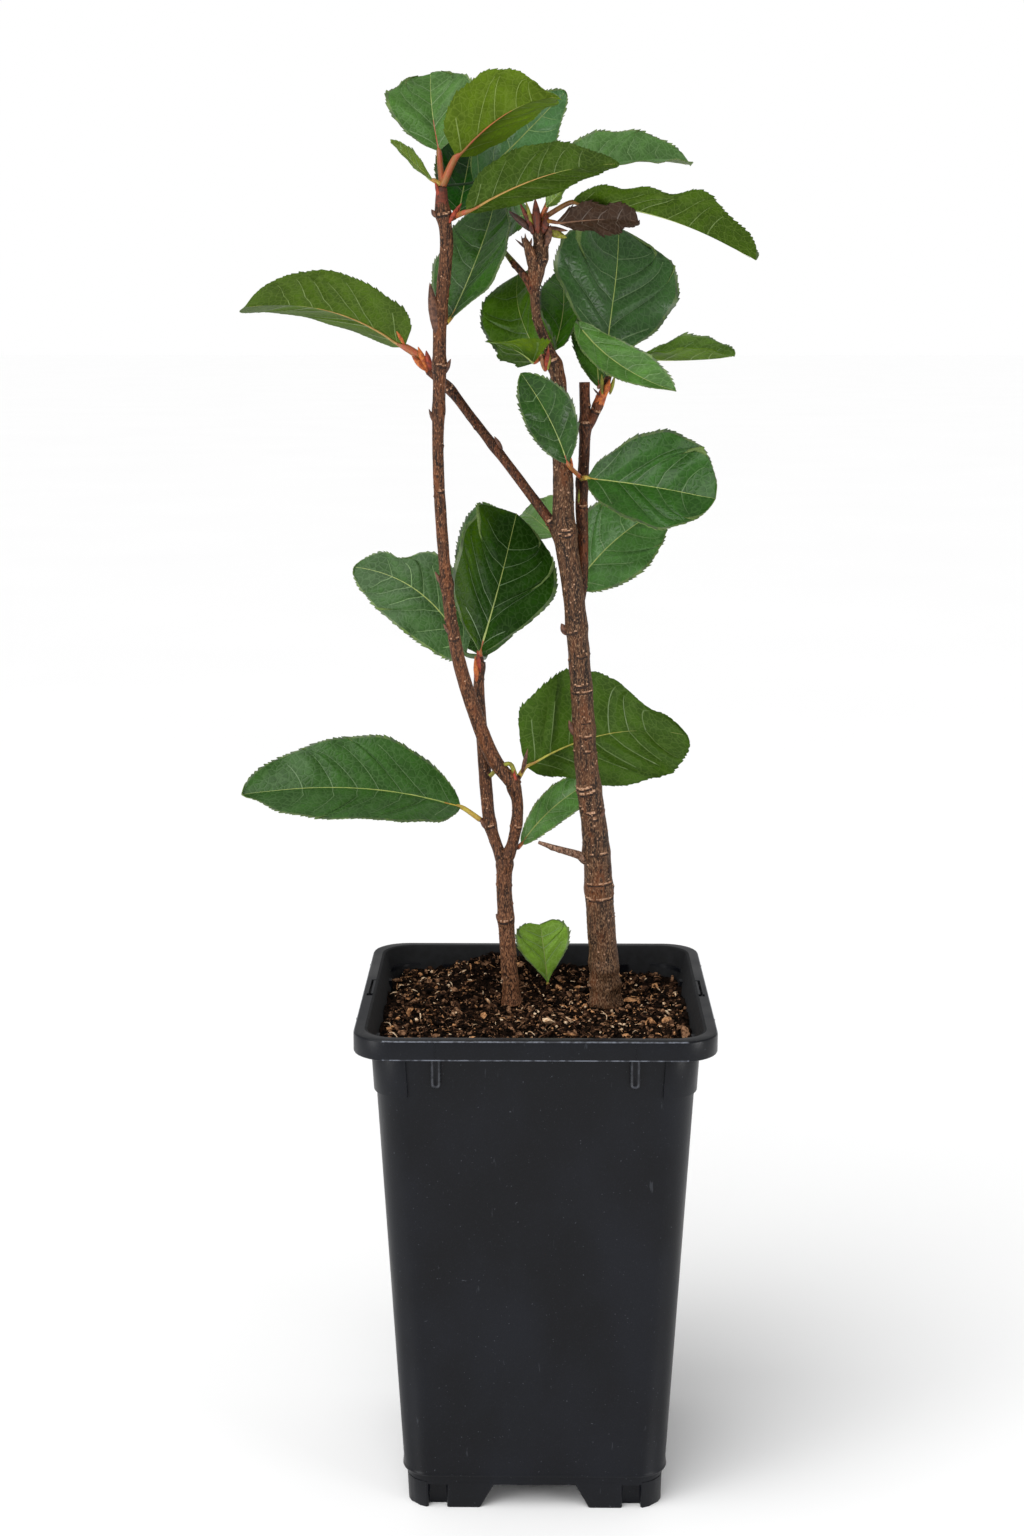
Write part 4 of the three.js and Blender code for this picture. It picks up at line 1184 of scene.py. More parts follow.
def bud_mesh(foot, tip, half):
    """Pointed spindle from its foot to its tip."""
    work = bmesh.new()
    bmesh.ops.create_uvsphere(work, u_segments=10, v_segments=8, radius=1)
    for vert in work.verts:
        slim = 1 - 0.6 * max(vert.co.z, 0) ** 1.5
        vert.co = (vert.co.x * half * slim, vert.co.y * half * slim, vert.co.z)
    run = Vector(tip) - Vector(foot)
    bmesh.ops.scale(work, vec=(1, 1, run.length / 2), verts=work.verts)
    turn = run.to_track_quat("Z", "Y").to_matrix().to_4x4()
    middle = Matrix.Translation((Vector(foot) + Vector(tip)) / 2)
    bmesh.ops.transform(work, matrix=middle @ turn, verts=work.verts)
    return work


def build_buds():
    colours = list(BUD_COLOURS)
    buds = bmesh.new()
    made = [(colour, bud_mesh(*bud)) for colour, rows in BUDS.items() for bud in rows]
    made.append(("olive", close_tube(round_tube(even_points(BARE_PETIOLE, 0.8), 10))))
    for colour, one in made:
        for face in one.faces:
            face.material_index = colours.index(colour)
        join_into(buds, one)
    add_piece("buds", buds, [bud_skin(colour) for colour in colours], (), 60)


# Leaves

# What a leaf has unless it says otherwise. Each also has the base of its blade, its length and its width,
# and in degrees its heading from +X, its rise and the roll of its upper side.
# fold lifts both halves; arch and sway bow the midrib up and sideways, hook bends the tip back and slant
# leans the halves along the midrib; widest, foot and tip shape the outline, and notch cuts into its end.
# A dip in the margin is (side, place along the blade, spread, depth); a depth below nought is a bulge.
# wave is how far the margin rises and falls, lean how far the veins run forward, blush how far the
# petiole's colour runs up the midrib, stalk how stout the petiole is, and gloss how the upper side shines.
# upper and under are the colours of the two sides; flush tints half a side, and glow is painted light that
# makes half the under side lighter, as if lit through the leaf; each is (side, begin, colour).
LEAF = dict(
    fold=5, arch=0, sway=0, hook=0, slant=0, widest=0.52, foot=1, tip=0.72, notch=0, dips=(), wave=1,
    lean=None, blush=0.08, stalk=1, gloss=0.18, upper=None, under=None, flush=None, painted_light_half=None,
    rib="pale", petiole="red", dead=False,
)
# Leaf masses: the stub on the stem that their petioles grow from, and their leaves
MASSES = {
    "leaves_left_top": dict(
        slot="leaf_olive", radius=2, stem=((-36.2, 5, 508), (-35.9, 5.2, 512.2)),
        leaves=[
            dict(base=(-37.2, 8, 525.2), heading=100, rise=53, roll=-14, length=38.2, width=34.4,
                 fold=16, arch=0.06, sway=-0.02, widest=0.59, foot=0.47, tip=0.59,
                 dips=[(1, 0.8, 0.09, 0.12)], blush=0.35, stalk=1.35, upper=(70, 110, 42)),
            dict(base=(-30.5, 2, 522.6), heading=-31, rise=24, roll=-28, length=49.2, width=35.2,
                 fold=24, arch=0.16, sway=-0.02, widest=0.41, foot=0.45, tip=0.54,
                 dips=[(1, 0.94, 0.07, 0.45), (-1, 0.94, 0.07, 0.45)], blush=0.3, stalk=1.45, rib="red",
                 # Painted light: the glow lightens one half of the under side, as if lit through
                 painted_light_half=(1, 0, (116, 150, 18)), under=(80, 104, 7)),
            dict(base=(-24.1, 12, 514.1), heading=33, rise=41, roll=84, length=52.5, width=29, fold=12,
                 arch=0.04, sway=0.01, hook=-0.06, widest=0.36, tip=0.68, petiole="shade", stalk=0.5,
                 gloss=0.4, upper=(72, 120, 61)),
            dict(base=(-39.3, 4, 514.4), heading=-147, rise=38, roll=-52, length=23, width=8, fold=11,
                 petiole="yellow", stalk=1.4, upper=(101, 126, 44)),
        ],
    ),
    "leaves_left_node": dict(
        slot="leaf_olive", radius=1.7, stem=((-35.6, 5.2, 499.6), (-31, 5.2, 501.2)),
        leaves=[
            dict(base=(-26.8, 0, 502.5), heading=-28, rise=14, roll=-36, length=66, width=27, fold=16,
                 arch=0.09, widest=0.42, foot=0.82, blush=0.1, rib="orange", under=(53, 77, 6)),
            dict(base=(-30, 12, 502.3), heading=78, rise=51, roll=18, length=43, width=25, fold=10,
                 foot=0.4, upper=(21, 75, 2)),
        ],
    ),
    "leaf_left_back": dict(
        slot="leaf_dark", radius=1.2, stem=((-37.1, 6, 459.4), (-34.8, 8, 461.6)),
        leaves=[
            dict(base=(-33.7, 9, 462.6), heading=59, rise=54, roll=-7, length=55.7, width=34.1, fold=9,
                 arch=0.03, sway=0.06, widest=0.42, foot=1.24, tip=0.51, dips=[(1, 0.84, 0.16, -0.5)],
                 petiole="yellow", upper=(39, 78, 11)),
        ],
    ),
    "leaf_crossing_branch": dict(
        slot="leaf_olive", radius=1.7, stem=((-42, 26.9, 442.6), (-45.6, 27, 448.4)),
        leaves=[
            dict(base=(-51.8, 27, 452.2), heading=-179, rise=14, roll=30, length=64.4, width=41.4,
                 fold=15, arch=0.11, sway=-0.02, slant=0.36, widest=0.62, foot=0.25, tip=0.3,
                 dips=[(1, 0.1, 0.1, -0.18)], rib="orange", wave=0.3, stalk=1.5, under=(64, 89, 9)),
        ],
    ),
    "leaves_main_top": dict(
        slot="leaf_green", radius=2.4, stem=((0.8, 10, 496), (1.2, 9, 500)),
        leaves=[
            dict(base=(13.2, 5, 506.3), heading=-18, rise=-17, roll=-19, length=74.6, width=30.3,
                 fold=34, arch=0.04, sway=0.1, widest=0.6, foot=0.44, tip=0.33,
                 dips=[(-1, 0.3, 0.1, 0.22), (-1, 0.5, 0.12, 0.33), (-1, 0.72, 0.1, -0.15)],
                 petiole="tawny", wave=1, upper=(51, 74, 2), under=(56, 81, 2)),
            dict(base=(7.1, 3, 498.8), heading=-19, rise=2, roll=-55, length=33, width=14.6, fold=12,
                 arch=0.03, hook=0.06, foot=0.86, tip=0.4,
                 dips=[(1, 0.8, 0.06, 0.35), (-1, 0.62, 0.07, 0.3)], petiole="tawny", wave=3.4,
                 dead=True, under=(54, 36, 23)),
            dict(base=(8.7, 16, 514.3), heading=20, rise=8, roll=29, length=55, width=32, fold=25,
                 arch=0.1, sway=0.01, widest=0.38, foot=0.76, tip=0.51, dips=[(-1, 0.5, 0.4, 0.07)],
                 upper=(77, 115, 54)),
            dict(base=(3.3, 5, 504.6), heading=-35, rise=40, roll=77, length=12, width=9, fold=25,
                 upper=(100, 126, 44)),
            dict(base=(-2.7, 15, 502), heading=112, rise=1, roll=-80, length=36, width=16,
                 upper=(64, 120, 21)),
        ],
    ),
    "leaves_main_spur": dict(
        slot="leaf_green", radius=1.7, stem=((6.3, 10, 446), (1.4, 10.6, 448.4)),
        leaves=[
            dict(base=(2.4, 17.5, 447.4), heading=128, rise=61, roll=-56, length=39.5, width=31.8,
                 fold=4, sway=-0.08, hook=0.14, widest=0.58, foot=0.25, tip=0.39,
                 dips=[(-1, 0.5, 0.45, 0.45)], upper=(65, 102, 11)),
            dict(base=(-1.1, 6, 446.6), heading=-153, rise=23, roll=29, length=21.6, width=25, fold=8,
                 sway=-0.12, widest=0.1, foot=0.98, tip=1.72,
                 dips=[(-1, 0.62, 0.22, -1.2), (-1, 0.15, 0.15, 0.3)], wave=0.4,
                 # Painted light: the glow lightens one half of the under side, as if lit through
                 painted_light_half=(1, 0, (98, 124, 8)), stalk=1.4, under=(46, 74, 3)),
            dict(base=(6.3, 20.5, 450.5), heading=84, rise=47, roll=-6, length=42, width=18.9, fold=16,
                 arch=0.05, sway=0.07, widest=0.6, foot=0.25, tip=0.89, upper=(57, 107, 8)),
        ],
    ),
    "leaves_side_top": dict(
        slot="leaf_dark", radius=1.6, stem=((26.6, 19, 436.5), (28, 19, 441)),
        leaves=[
            dict(base=(27, 23, 448), heading=65, rise=72, roll=57, length=53.6, width=58.4, fold=3,
                 arch=0.03, sway=-0.02, hook=0.06, widest=0.61, foot=0.57, tip=0.55, petiole="yellow",
                 gloss=0.3, upper=(43, 79, 29)),
            dict(base=(15.2, 13, 462.1), heading=-33, rise=-30, roll=39, length=51.5, width=18, fold=17,
                 sway=0.09, slant=-0.37, widest=0.57, foot=0.5, tip=0.95, dips=[(-1, 0.82, 0.08, 0.22)],
                 petiole="green", upper=(71, 113, 41)),
            dict(base=(39, 12, 448.9), heading=-21, rise=1, roll=15, length=38.7, width=22.9, fold=34,
                 arch=-0.02, sway=0.04, widest=0.54, foot=0.87, tip=0.72, petiole="yellow",
                 upper=(78, 111, 30), under=(70, 100, 2)),
            dict(base=(24.3, 24, 436.6), heading=109, rise=57, roll=-15, length=41.9, width=17, fold=15,
                 sway=0.04, widest=0.48, foot=0.83, upper=(58, 98, 26)),
        ],
    ),
    "leaves_side_axil": dict(
        slot="leaf_green", radius=1.5, stem=((18.1, 19, 400.6), (17.6, 14.8, 401.8)),
        leaves=[
            dict(base=(12, 1, 408.2), heading=-154, rise=60, roll=-95, length=40, width=21, fold=15,
                 arch=0.05, sway=0.03, foot=0.76, tip=0.65, gloss=0.3, upper=(33, 70, 8)),
            dict(base=(19.6, 10, 402.3), heading=-14, rise=-8, roll=51, length=51, width=46, fold=17,
                 arch=0.03, widest=0.59, foot=0.46, tip=0.52, petiole="yellow", gloss=0.3,
                 upper=(39, 83, 16)),
        ],
    ),
    "leaf_main_right": dict(
        slot="leaf_blue", radius=1.2, stem=((14.8, 11.3, 352), (14.9, 18, 354.8)),
        leaves=[
            dict(base=(15, 24, 357.7), heading=20, rise=38, roll=71, length=51, width=33, fold=11,
                 arch=0.04, sway=-0.07, widest=0.48, foot=0.71, upper=(70, 113, 51)),
        ],
    ),
    "leaf_main_left": dict(
        slot="leaf_blue", radius=1.2, stem=((12, 11, 371.5), (10.6, 18, 374)),
        leaves=[
            dict(base=(7.8, 41, 376.8), heading=124, rise=22, roll=-41, length=29, width=27, fold=7,
                 hook=0.15, widest=0.49, foot=0.86, dips=[(1, 0.5, 0.5, 0.4)], upper=(95, 135, 66)),
        ],
    ),
    "leaves_middle_top": dict(
        slot="leaf_dark", radius=1.9, stem=((-22.6, 23, 326.6), (-22.6, 23.6, 330)),
        leaves=[
            dict(base=(-22.6, 24, 331.4), heading=46, rise=69, roll=66, length=58.6, width=45.4, fold=11,
                 arch=0.03, slant=-0.14, lean=0.8, widest=0.63, foot=0.59, tip=0.73,
                 dips=[(1, 0.95, 0.07, -0.8), (1, 0.26, 0.17, -0.42), (1, 0.1, 0.07, -0.4)],
                 flush=(1, 0.3, (62, 94, 0)), gloss=0.07, upper=(27, 58, 5)),
            dict(base=(-28.3, 28, 330.4), heading=166, rise=37, roll=-66, length=59.1, width=33.1,
                 sway=0.13, hook=0.12, slant=0.17, widest=0.5, foot=0.52, tip=0.6,
                 dips=[(-1, 0.76, 0.1, 0.38)], petiole="green", upper=(58, 90, 43)),
            dict(base=(-20.7, 36, 328.4), heading=94, rise=71, roll=-20, length=64, width=31, fold=13,
                 arch=0.04, sway=0.09, widest=0.6, foot=0.42,
                 dips=[(-1, 0.1, 0.09, -0.5), (1, 0.1, 0.09, -1)], petiole="green", upper=(56, 92, 34)),
        ],
    ),
    "leaf_bend": dict(
        slot="leaf_olive", radius=1.4, stem=((-8.6, 15, 279.6), (-6.8, 17, 282.4)),
        leaves=[
            dict(base=(-4.1, 21, 285.7), heading=16, rise=8, roll=-78, length=69.5, width=56.7, fold=12,
                 sway=0.11, slant=-0.48, lean=0.5, widest=0.5, foot=0.66, tip=0.65,
                 dips=[(-1, 0.86, 0.07, 0.36), (-1, 0.12, 0.08, -0.23), (1, 0.15, 0.1, 0.26)],
                 petiole="yellow", rib="yellow", under=(55, 84, 8)),
        ],
    ),
    "leaf_outer_arm": dict(
        slot="leaf_green", radius=1, stem=((-9.8, 17.5, 251.6), (-7.4, 18.2, 252.8)),
        leaves=[
            dict(base=(-6, 20, 253.7), heading=34, rise=30, roll=60, length=47.6, width=14.3, fold=12,
                 sway=-0.07, widest=0.56, foot=0.49, tip=0.62, upper=(82, 126, 55)),
        ],
    ),
    "leaf_low_left": dict(
        slot="leaf_green", radius=1.3, stem=((-18.6, 20, 262.2), (-22.6, 20, 264)),
        leaves=[
            dict(base=(-30.3, 20, 269.2), heading=-166, rise=6, roll=-42, length=89, width=44, fold=18,
                 arch=0.1, slant=-0.11, widest=0.48, foot=0.68, tip=0.53,
                 dips=[(1, 0.36, 0.05, 0.05), (1, 0.08, 0.07, -0.22), (1, 0.95, 0.08, 0.5)],
                 petiole="yellow", gloss=0.22, upper=(46, 82, 27)),
        ],
    ),
    "leaf_seedling": dict(
        slot="leaf_bright", radius=0.8, stem=((5.2, 38, 187.3), (5.2, 38, 189.4)),
        leaves=[
            dict(base=(5.2, 38, 189.6), heading=120, rise=75, roll=-22, length=27, width=23, fold=11,
                 arch=0.04, widest=0.74, foot=0.55, tip=0.32, notch=0.07, petiole="yellow",
                 upper=(122, 163, 52)),
        ],
    ),
}

# Pairs of side veins: where they leave the midrib, their spacing, and how they lean and curve forward
FIRST_VEIN, LAST_VEIN = 0.05, 0.74
MILLIMETRES_PER_VEIN, FEWEST_VEINS, MOST_VEINS = 9.5, 4, 7
VEIN_HALF, VEIN_LEAN, VEIN_CURVE = 0.21, 0.88, 0.3
LEAST_LEAN, MOST_LEAN = 0.42, 0.88
# Grid of a blade: distance of its rows, and its columns as shares of the half width
ROW_PITCH, FEWEST_ROWS = 0.58, 6
ACROSS = (0.13, 0.27, 0.42, 0.57, 0.71, 0.84)
RIB_STRIP, MARGIN_STRIP = 0.22, 0.5
# Relief as shares of the width, and the hollow along the midrib in millimetres
PUCKER, MARGIN_WAVE, NOTCH_HALF = 0.028, 0.024, 0.17
TROUGH, TROUGH_HALF = 0.4, 1.3
BLADE_THICKNESS = 0.32
TOOTH_PITCH, TOOTH_DEPTH, DEAD_TEETH = 2.2, 1.5, 1.8
USUAL_LENGTH = 45


def outline_at(share, leaf):
    """Share of the full width at a share of the length."""
    skew = math.log(0.5) / math.log(leaf["widest"])
    power = leaf["foot"] + (leaf["tip"] - leaf["foot"]) * share
    return np.maximum(np.sin(math.pi * share ** skew), 0) ** power


def blade_frame(leaf):
    """Directions along the chord, to the left, and out of the upper side."""
    heading, rise = math.radians(leaf["heading"]), math.radians(leaf["rise"])
    level = math.cos(rise)
    chord = Vector((level * math.cos(heading), level * math.sin(heading), math.sin(rise)))
    roll = Matrix.Rotation(math.radians(leaf["roll"]), 3, chord)
    left = roll @ Vector((-math.sin(heading), math.cos(heading), 0))
    return np.array(chord), np.array(left), np.array(chord.cross(left))


def midrib_at(share, leaf, chord, left, upper):
    """Points of the midrib at shares of the length."""
    length = leaf["length"]
    bow = (4 * share * (1 - share) * length)[:, None]
    bend = (np.maximum((share - 0.5) / 0.5, 0) ** 2 * leaf["hook"] * length)[:, None]
    point = np.array(leaf["base"]) + chord * (share * length)[:, None]
    return point + upper * (leaf["arch"] * bow - bend) - left * leaf["sway"] * bow


def vein_lean(leaf, share):
    """How far a vein runs forward by the time it meets the margin, as a share of the length."""
    usual = min(max(VEIN_LEAN * leaf["width"] / leaf["length"], LEAST_LEAN), MOST_LEAN)
    lean = leaf["lean"] or usual
    return lean * (1 - share) * (1 - (1 - share) ** 8)


def vein_rows(leaf, own):
    """Shares of the midrib for the rows of a blade, with -1 and 1 for the two edges of a vein."""
    pairs = int(np.clip(leaf["length"] / MILLIMETRES_PER_VEIN, FEWEST_VEINS, MOST_VEINS))
    veins = np.linspace(FIRST_VEIN, LAST_VEIN, pairs)
    gap = veins[1] - veins[0]
    veins[1:-1] += own.uniform(-0.2, 0.2, pairs - 2) * gap
    strip = min(VEIN_HALF / leaf["length"], 0.05 * gap)
    ends = [0, *veins, 1 + strip]
    rows = []
    for before, following in zip(ends[:-1], ends[1:]):
        rows += [(before, -1), (before, 1)] if before else [(0, 0)]
        room = following - before - 2 * strip
        run = max(room, room + vein_lean(leaf, following) - vein_lean(leaf, before))
        between = max(int(run * leaf["length"] / ROW_PITCH), FEWEST_ROWS)
        shares = np.arange(1, between + 1) / (between + 1)
        rows += [(before + strip + room * share, 0) for share in shares]
    rows.append((1.0, 0))
    return np.array(rows), veins, strip


def blade_half(share, side, leaf):
    """Half width of one side of a blade at a share of its length, with its dips and bulges."""
    half = leaf["width"] / 2 * outline_at(share, leaf)
    for dip_side, place, spread, depth in leaf["dips"]:
        half = half * (1 - depth * np.exp(-((share - place) / spread) ** 2) * (side * dip_side > 0))
    return half


def blade_grid(leaf, own, rows, veins, strip):
    """Root of each point's row on the midrib, its place across and along the blade, and the half width."""
    near = np.maximum(leaf["width"] / 2 * outline_at(np.clip(rows[:, 0], 0, 1), leaf), 0.3)
    thin = RIB_STRIP * (1.15 - 0.9 * rows[:, 0]) * np.clip(leaf["length"] / USUAL_LENGTH, 0.9, 1.25)
    rib = np.minimum(thin / near, 0.06)
    margin = np.maximum(1 - MARGIN_STRIP / near, 0.94)
    one = np.ones(len(rows))
    side = [rib, *(one * share for share in ACROSS), margin, one]
    v = np.stack([*(-column for column in reversed(side)), 0 * one, *side], axis=1)
    reach = np.abs(v)
    u = rows[:, :1] + rows[:, 1:] * strip * (1 - 0.75 * reach)
    gap = veins[1] - veins[0]
    ahead = own.uniform(0.15, 0.45) * gap * own.choice((-1, 1))
    bend = 1 + 0.16 * np.sin(2.6 * u / gap + own.uniform(0, 6) + 2 * (v > 0))
    lean = vein_lean(leaf, np.clip(u, 0, 1)) * bend
    s = u + lean * reach * (1 - VEIN_CURVE + VEIN_CURVE * reach)
    s += ahead * (v > 0) * ease(reach, 0.02, 0.3) * u * (1 - u) * 3
    s = np.clip(s, 0, 1)
    return u, v, s, blade_half(s, v, leaf)


def blade_points(leaf, own, rows, veins, strip):
    """Points of a blade, row by row, with their places on the flattened blade and between the veins."""
    chord, left, upper = blade_frame(leaf)
    width = leaf["width"]
    u, v, s, half = blade_grid(leaf, own, rows, veins, strip)
    reach = np.abs(v)
    fold = math.radians(leaf["fold"])
    aside = half * v * math.cos(fold)
    phase = own.uniform(0, 6.3, 6)
    order = np.interp(u, veins, np.arange(len(veins)))
    between = np.abs((order + 0.5) % 1 - 0.5) * 2
    inside = ease(u, 0.0, 0.08) * (1 - ease(u, 0.85, 1.0))
    swell = 0.6 + 0.4 * np.sin(order * 2.1 + phase[4] + v * 2)
    raised = (between ** 0.7 - 0.5) * np.sin(math.pi * reach ** 0.8)
    pucker = PUCKER * width * swell * raised * inside
    trough = -TROUGH * np.exp(-(half * reach / TROUGH_HALF) ** 2) * inside
    slow = np.sin(10 * s + phase[0] + (v > 0) * phase[1])
    quick = 0.6 * np.sin(23 * s + phase[2] + (v > 0) * phase[3])
    wave = leaf["wave"] * MARGIN_WAVE * width * reach ** 2 * (slow + quick) * ease(s, 0, 0.25)
    lift = half * reach * math.sin(fold) + pucker + trough + wave
    mid = midrib_at(s.ravel(), leaf, chord, left, upper)
    points = mid + left * aside.ravel()[:, None] - chord * (leaf["slant"] * aside).ravel()[:, None]
    points += upper * lift.ravel()[:, None]
    middle = np.exp(-(aside / (NOTCH_HALF * width)) ** 2)
    notch = leaf["notch"] * leaf["length"] * ease(s, 0.7, 1) * middle
    points -= chord * notch.ravel()[:, None]
    points = points.reshape(*u.shape, 3)
    cut_teeth(points, leaf, own)
    shift = own.uniform(0, 400, 2)
    flat = np.stack([s * leaf["length"] + shift[0], half * v + shift[1]], axis=-1)
    return points, flat, np.stack([between * inside + 0.5 * (1 - inside), v], axis=-1)


def cut_teeth(points, leaf, own):
    """Fine forward teeth along both margins."""
    ragged = DEAD_TEETH if leaf["dead"] else 1
    for edge, inner in ((0, 1), (-1, -2)):
        run = run_along(points[:, edge])
        order = run / TOOTH_PITCH + 0.25 * np.sin(run * 0.8)
        climb = order % 1
        size = own.uniform(0.65, 1.15, int(order.max()) + 2)[np.maximum(order, 0).astype(int)]
        outward = points[:, edge] - points[:, inner]
        room = np.linalg.norm(outward, axis=1)
        outward /= np.maximum(room, 1e-6)[:, None]
        fade = ease(run, 2, 7) * (1 - ease(run, run[-1] - 2, run[-1]))
        reach = np.minimum(TOOTH_DEPTH * ragged * size * climb ** 1.4, 2.5 * room)
        points[:, edge] += outward * (reach * fade)[:, None]


def blade_part(leaf, rows, row, column, columns):
    """Part of the blade that a face in a row and a column of its grid belongs to."""
    along, vein_edge = rows[row]
    middle = columns // 2
    inward = min(column, columns - 1 - column)
    if column in (middle - 1, middle):
        return "blush" if along < leaf["blush"] else "rib"
    if inward == 0:
        return "margin"
    if vein_edge < 0 and inward > 1 + row % 2:
        return "vein"
    return "upper"


def thicken(work, kinds):
    """Turns a blade's upper side into a thin closed leaf."""
    outs = work.verts.layers.float_vector.new("out")
    for vert in work.verts:
        vert[outs] = vert.normal
    tops = set(work.faces)
    grown = bmesh.ops.extrude_face_region(work, geom=list(work.faces), use_keep_orig=True)
    for vert in verts_of(grown):
        vert.co -= vert[outs] * BLADE_THICKNESS
    for face in work.faces:
        if face not in tops:
            face.material_index = kinds["under_vein" if face.material_index == kinds["vein"] else "under"]
    bmesh.ops.recalc_face_normals(work, faces=work.faces)


def blade_mesh(leaf, seed, kinds):
    """Thin closed blade. kinds are the skin indices of its two sides, veins, midrib and margin."""
    own = np.random.default_rng(seed)
    rows, veins, strip = vein_rows(leaf, own)
    points, flat, quilt = blade_points(leaf, own, rows, veins, strip)
    columns = points.shape[1] - 1
    work = sheet_of(points)
    work.verts.index_update()
    for name, places in (("blade", flat.reshape(-1, 2)), ("quilt", quilt.reshape(-1, 2))):
        layer = work.loops.layers.uv.new(name)
        for face in work.faces:
            for loop in face.loops:
                loop[layer].uv = places[loop.vert.index]
    for number, face in enumerate(work.faces):
        face.material_index = kinds[blade_part(leaf, rows, *divmod(number, columns), columns)]
    bmesh.ops.remove_doubles(work, verts=work.verts, dist=1e-4)
    work.normal_update()
    out = Vector(blade_frame(leaf)[2])
    if sum(f.normal.dot(out) * f.calc_area() for f in work.faces) < 0:
        bmesh.ops.reverse_faces(work, faces=work.faces)
        work.normal_update()
    thicken(work, kinds)
    return work


STALK_PITCH, STALK_SIDES = 1.3, 8
RIB_SHARES = np.array((0.05, 0.15, 0.3, 0.45, 0.6, 0.75, 0.88, 0.97))
RIB_SUNK, RIB_TIP_FROM = 0.5, 0.6


def stalk_mesh(leaf, head, kinds):
    """Petiole that runs on under the blade as its midrib and tapers to the tip."""
    chord, left, upper = blade_frame(leaf)
    size = 0.5 + 0.5 * min(leaf["length"] / USUAL_LENGTH, 1.25)
    radii = (0.06 + 0.46 * (1 - RIB_SHARES) ** 2.2) * size
    sunk = radii + RIB_SUNK
    rib = midrib_at(RIB_SHARES, leaf, chord, left, upper) - upper * sunk[:, None]
    stout = size * leaf["stalk"]
    route = [(*head, stout), (*leaf["base"], 0.85 * stout)]
    route += [(*point, radius) for point, radius in zip(rib, radii)]
    points = even_points(route, STALK_PITCH)
    work = round_tube(points, STALK_SIDES)
    base = np.argmin(np.linalg.norm(points[:, :3] - np.array(leaf["base"]), axis=1))
    for number, face in enumerate(work.faces):
        share = (number // STALK_SIDES - base) * STALK_PITCH / leaf["length"]
        part = "blush" if share < leaf["blush"] else "rib" if share < RIB_TIP_FROM else "tip"
        face.material_index = kinds[part]
    return close_tube(work)


# Colour and streaks of midribs and petioles, and the colour of side veins by the tone of the leaf
RIB_COLOURS = {
    "pale": ((152, 164, 84), (128, 146, 74)),
    "red": ((172, 88, 40), (150, 104, 44)),
    "orange": ((168, 130, 64), (150, 118, 56)),
    "yellow": ((166, 162, 62), (146, 138, 50)),
    "dry": ((120, 84, 58), (92, 62, 44)),
    "olive": ((142, 148, 60), (122, 130, 52)),
}
PETIOLE_COLOURS = {
    "red": ((160, 74, 44), (140, 92, 42)),
    "yellow": ((168, 150, 54), (150, 110, 46)),
    "green": ((62, 84, 34), (54, 74, 30)),
    "tawny": ((134, 92, 36), (106, 60, 28)),
    "shade": ((34, 62, 24), (28, 52, 20)),
}
VEIN_COLOURS = {
    "dry": (110, 82, 62), "dark": (84, 112, 66), "mid": (104, 136, 78), "light": (124, 156, 92),
}
LEAF_UPPER, LEAF_UNDER = (62, 98, 44), (92, 114, 58)
# Sums of a colour's three values between which a leaf counts as of a middle tone
DARK_BELOW, LIGHT_ABOVE = 190, 250


def leaf_skins(label, leaf):
    """Skins of one leaf by the part of the blade that they cover."""
    dead = leaf["dead"]
    upper, under = np.array(leaf["upper"] or LEAF_UPPER), np.array(leaf["under"] or LEAF_UNDER)
    depth = upper.sum()
    tone = "dry" if dead else "dark" if depth < DARK_BELOW else "light" if depth > LIGHT_ABOVE else "mid"
    pale = np.array(VEIN_COLOURS[tone])
    rough = 0.62 if dead else 0.33
    rib, tip = ("dry", "dry") if dead else (leaf["rib"], "olive")
    hue = leaf["petiole"]
    upper_name = f"{label}_upper" if leaf["upper"] else "upper_green"
    under_name = f"{label}_under" if leaf["under"] else "under_green"
    back_name = f"{label}_back_vein" if leaf["under"] else "under_vein"
    return {
        "upper": shared(leaf_skin, upper_name, upper, rough, leaf["gloss"], leaf["flush"]),
        # The under side's glow is painted light on half of it
        "under": shared(leaf_skin, under_name, under, 0.6, 0.14, leaf["painted_light_half"]),
        "vein": shared(stalk_skin, f"vein_{tone}", pale, pale * 0.85),
        "under_vein": shared(stalk_skin, back_name, under * 0.8 + 50, under * 0.9 + 20),
        "margin": shared(stalk_skin, f"margin_{tone}", pale * 0.8 + (10, 10, -10), pale * 0.65),
        "rib": shared(stalk_skin, f"rib_{rib}", *RIB_COLOURS[rib]),
        "tip": shared(stalk_skin, f"rib_{tip}", *RIB_COLOURS[tip]),
        "blush": shared(stalk_skin, f"petiole_{hue}", *PETIOLE_COLOURS[hue]),
    }


def index_in(skins, skin):
    """Place of a skin in a piece's list, which it joins if it is new there."""
    if skin not in skins:
        skins.append(skin)
    return skins.index(skin)


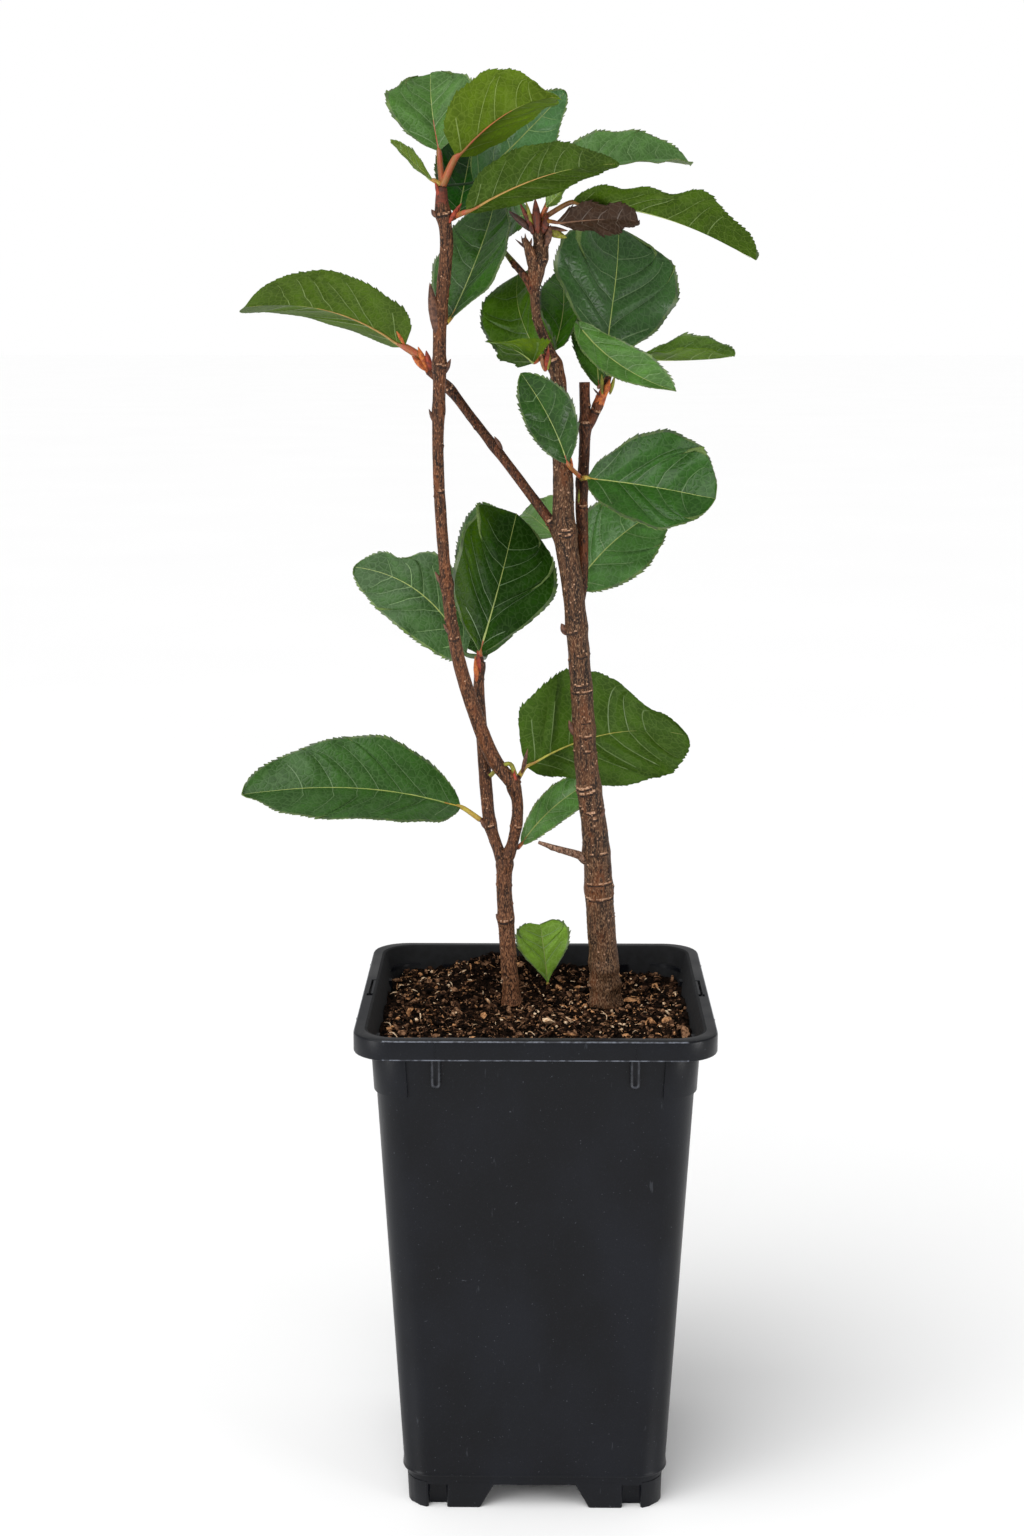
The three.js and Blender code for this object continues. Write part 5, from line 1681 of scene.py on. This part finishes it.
def build_mass(name, mass, first_seed, bark):
    blades, stalks = bmesh.new(), bmesh.new()
    blade_skins, stalk_skins = [], [bark]
    stem, head = mass["stem"]
    stub = even_points([(*stem, mass["radius"]), (*head, mass["radius"] * 0.75)], 0.8)
    join_into(stalks, close_tube(round_tube(stub, 12)))
    for number, own in enumerate(mass["leaves"]):
        leaf = LEAF | own
        skins = leaf_skins(f"{name}_{number + 1}", leaf)
        kinds = {part: index_in(blade_skins, skin) for part, skin in skins.items()}
        join_into(blades, blade_mesh(leaf, first_seed + number, kinds))
        tints = {part: index_in(stalk_skins, skins[part]) for part in ("blush", "rib", "tip")}
        join_into(stalks, stalk_mesh(leaf, head, tints))
    add_piece(f"{name}_blades", blades, blade_skins, [name], 60)
    add_piece(f"{name}_stalks", stalks, stalk_skins, (), 60)


def build_leaves(bark):
    for number, (name, mass) in enumerate(MASSES.items()):
        build_mass(name, mass, 1 + 10 * number, bark)


# Camera, light and floor

LENS, SENSOR, PITCH, YAW = 53.63, 36, 11.08, 0.613
EYE = (0, -885.3, 462.6)
# Lights are placed in metres
PLANT_MIDDLE = Vector((0.02, 0, 0.28))
SUN_POWER, SUN_SPREAD, SUN_WAY = 2.1, 60, Vector((0.45, 0.55, -0.95))
BOX_SIZE, BOX_POWER = 0.4, 5
SURROUND_LIGHT = 0.52


def build_camera():
    camera = bpy.data.cameras.new("photo_camera")
    camera.lens = LENS
    camera.sensor_width = SENSOR
    camera.clip_start = 0.01
    holder = new_object("photo_camera", camera)
    holder.location = Vector(EYE) * MM + POT_MIDDLE
    holder.rotation_euler = (math.radians(90 - PITCH), 0, math.radians(YAW))
    bpy.context.scene.camera = holder


def aim(holder, towards):
    """Turns a light to shine in a direction."""
    holder.rotation_euler = towards.to_track_quat("-Z", "Y").to_euler()


def soft_light(name, at):
    """Square soft box that faces the middle of the plant."""
    lamp = bpy.data.lights.new(name, "AREA")
    lamp.shape = "SQUARE"
    lamp.size = BOX_SIZE
    lamp.energy = BOX_POWER
    holder = new_object(name, lamp)
    holder.location = at
    aim(holder, PLANT_MIDDLE - Vector(at))


def build_daylight():
    """Broad even light from the upper left, and a white surround that lights less than it shows."""
    lamp = bpy.data.lights.new("broad_light", "SUN")
    lamp.energy = SUN_POWER
    lamp.angle = math.radians(SUN_SPREAD)
    aim(new_object("broad_light", lamp), SUN_WAY)
    world = bpy.data.worlds.new("studio")
    bpy.context.scene.world = world
    world.use_nodes = True
    tree = world.node_tree
    sky = tree.nodes["Background"]
    seen = tree.nodes.new("ShaderNodeLightPath")
    share = tree.nodes.new("ShaderNodeMapRange")
    share.inputs["To Min"].default_value = SURROUND_LIGHT
    share.inputs["To Max"].default_value = 1.0
    tree.links.new(seen.outputs["Is Camera Ray"], share.inputs["Value"])
    tree.links.new(share.outputs["Result"], sky.inputs["Strength"])
    sky.inputs["Color"].default_value = (1, 1, 1, 1)


def build_studio():
    build_daylight()
    soft_light("left_box", (-0.87, -0.68, 0.16))
    soft_light("right_box", (0.9, -0.68, 0.16))
    work = bmesh.new()
    bmesh.ops.create_grid(work, x_segments=1, y_segments=1, size=30)
    mesh = bpy.data.meshes.new("studio_floor")
    work.to_mesh(mesh)
    work.free()
    skin = Skin("floor_paper", 0.9, 0.1)
    patches = skin.clouds((0.002, 0.002, 0.002), detail=2)
    mesh.materials.append(skin.finish(skin.blend(patches, (0.94, 0.94, 0.94, 1), (0.97, 0.97, 0.97, 1))))
    floor = new_object("studio_floor", mesh)
    bpy.context.scene.view_settings.view_transform = "Standard"


build_pot()
build_soil()
barks = build_limbs()
build_buds()
build_leaves(barks["bark_young"])
build_camera()
build_studio()
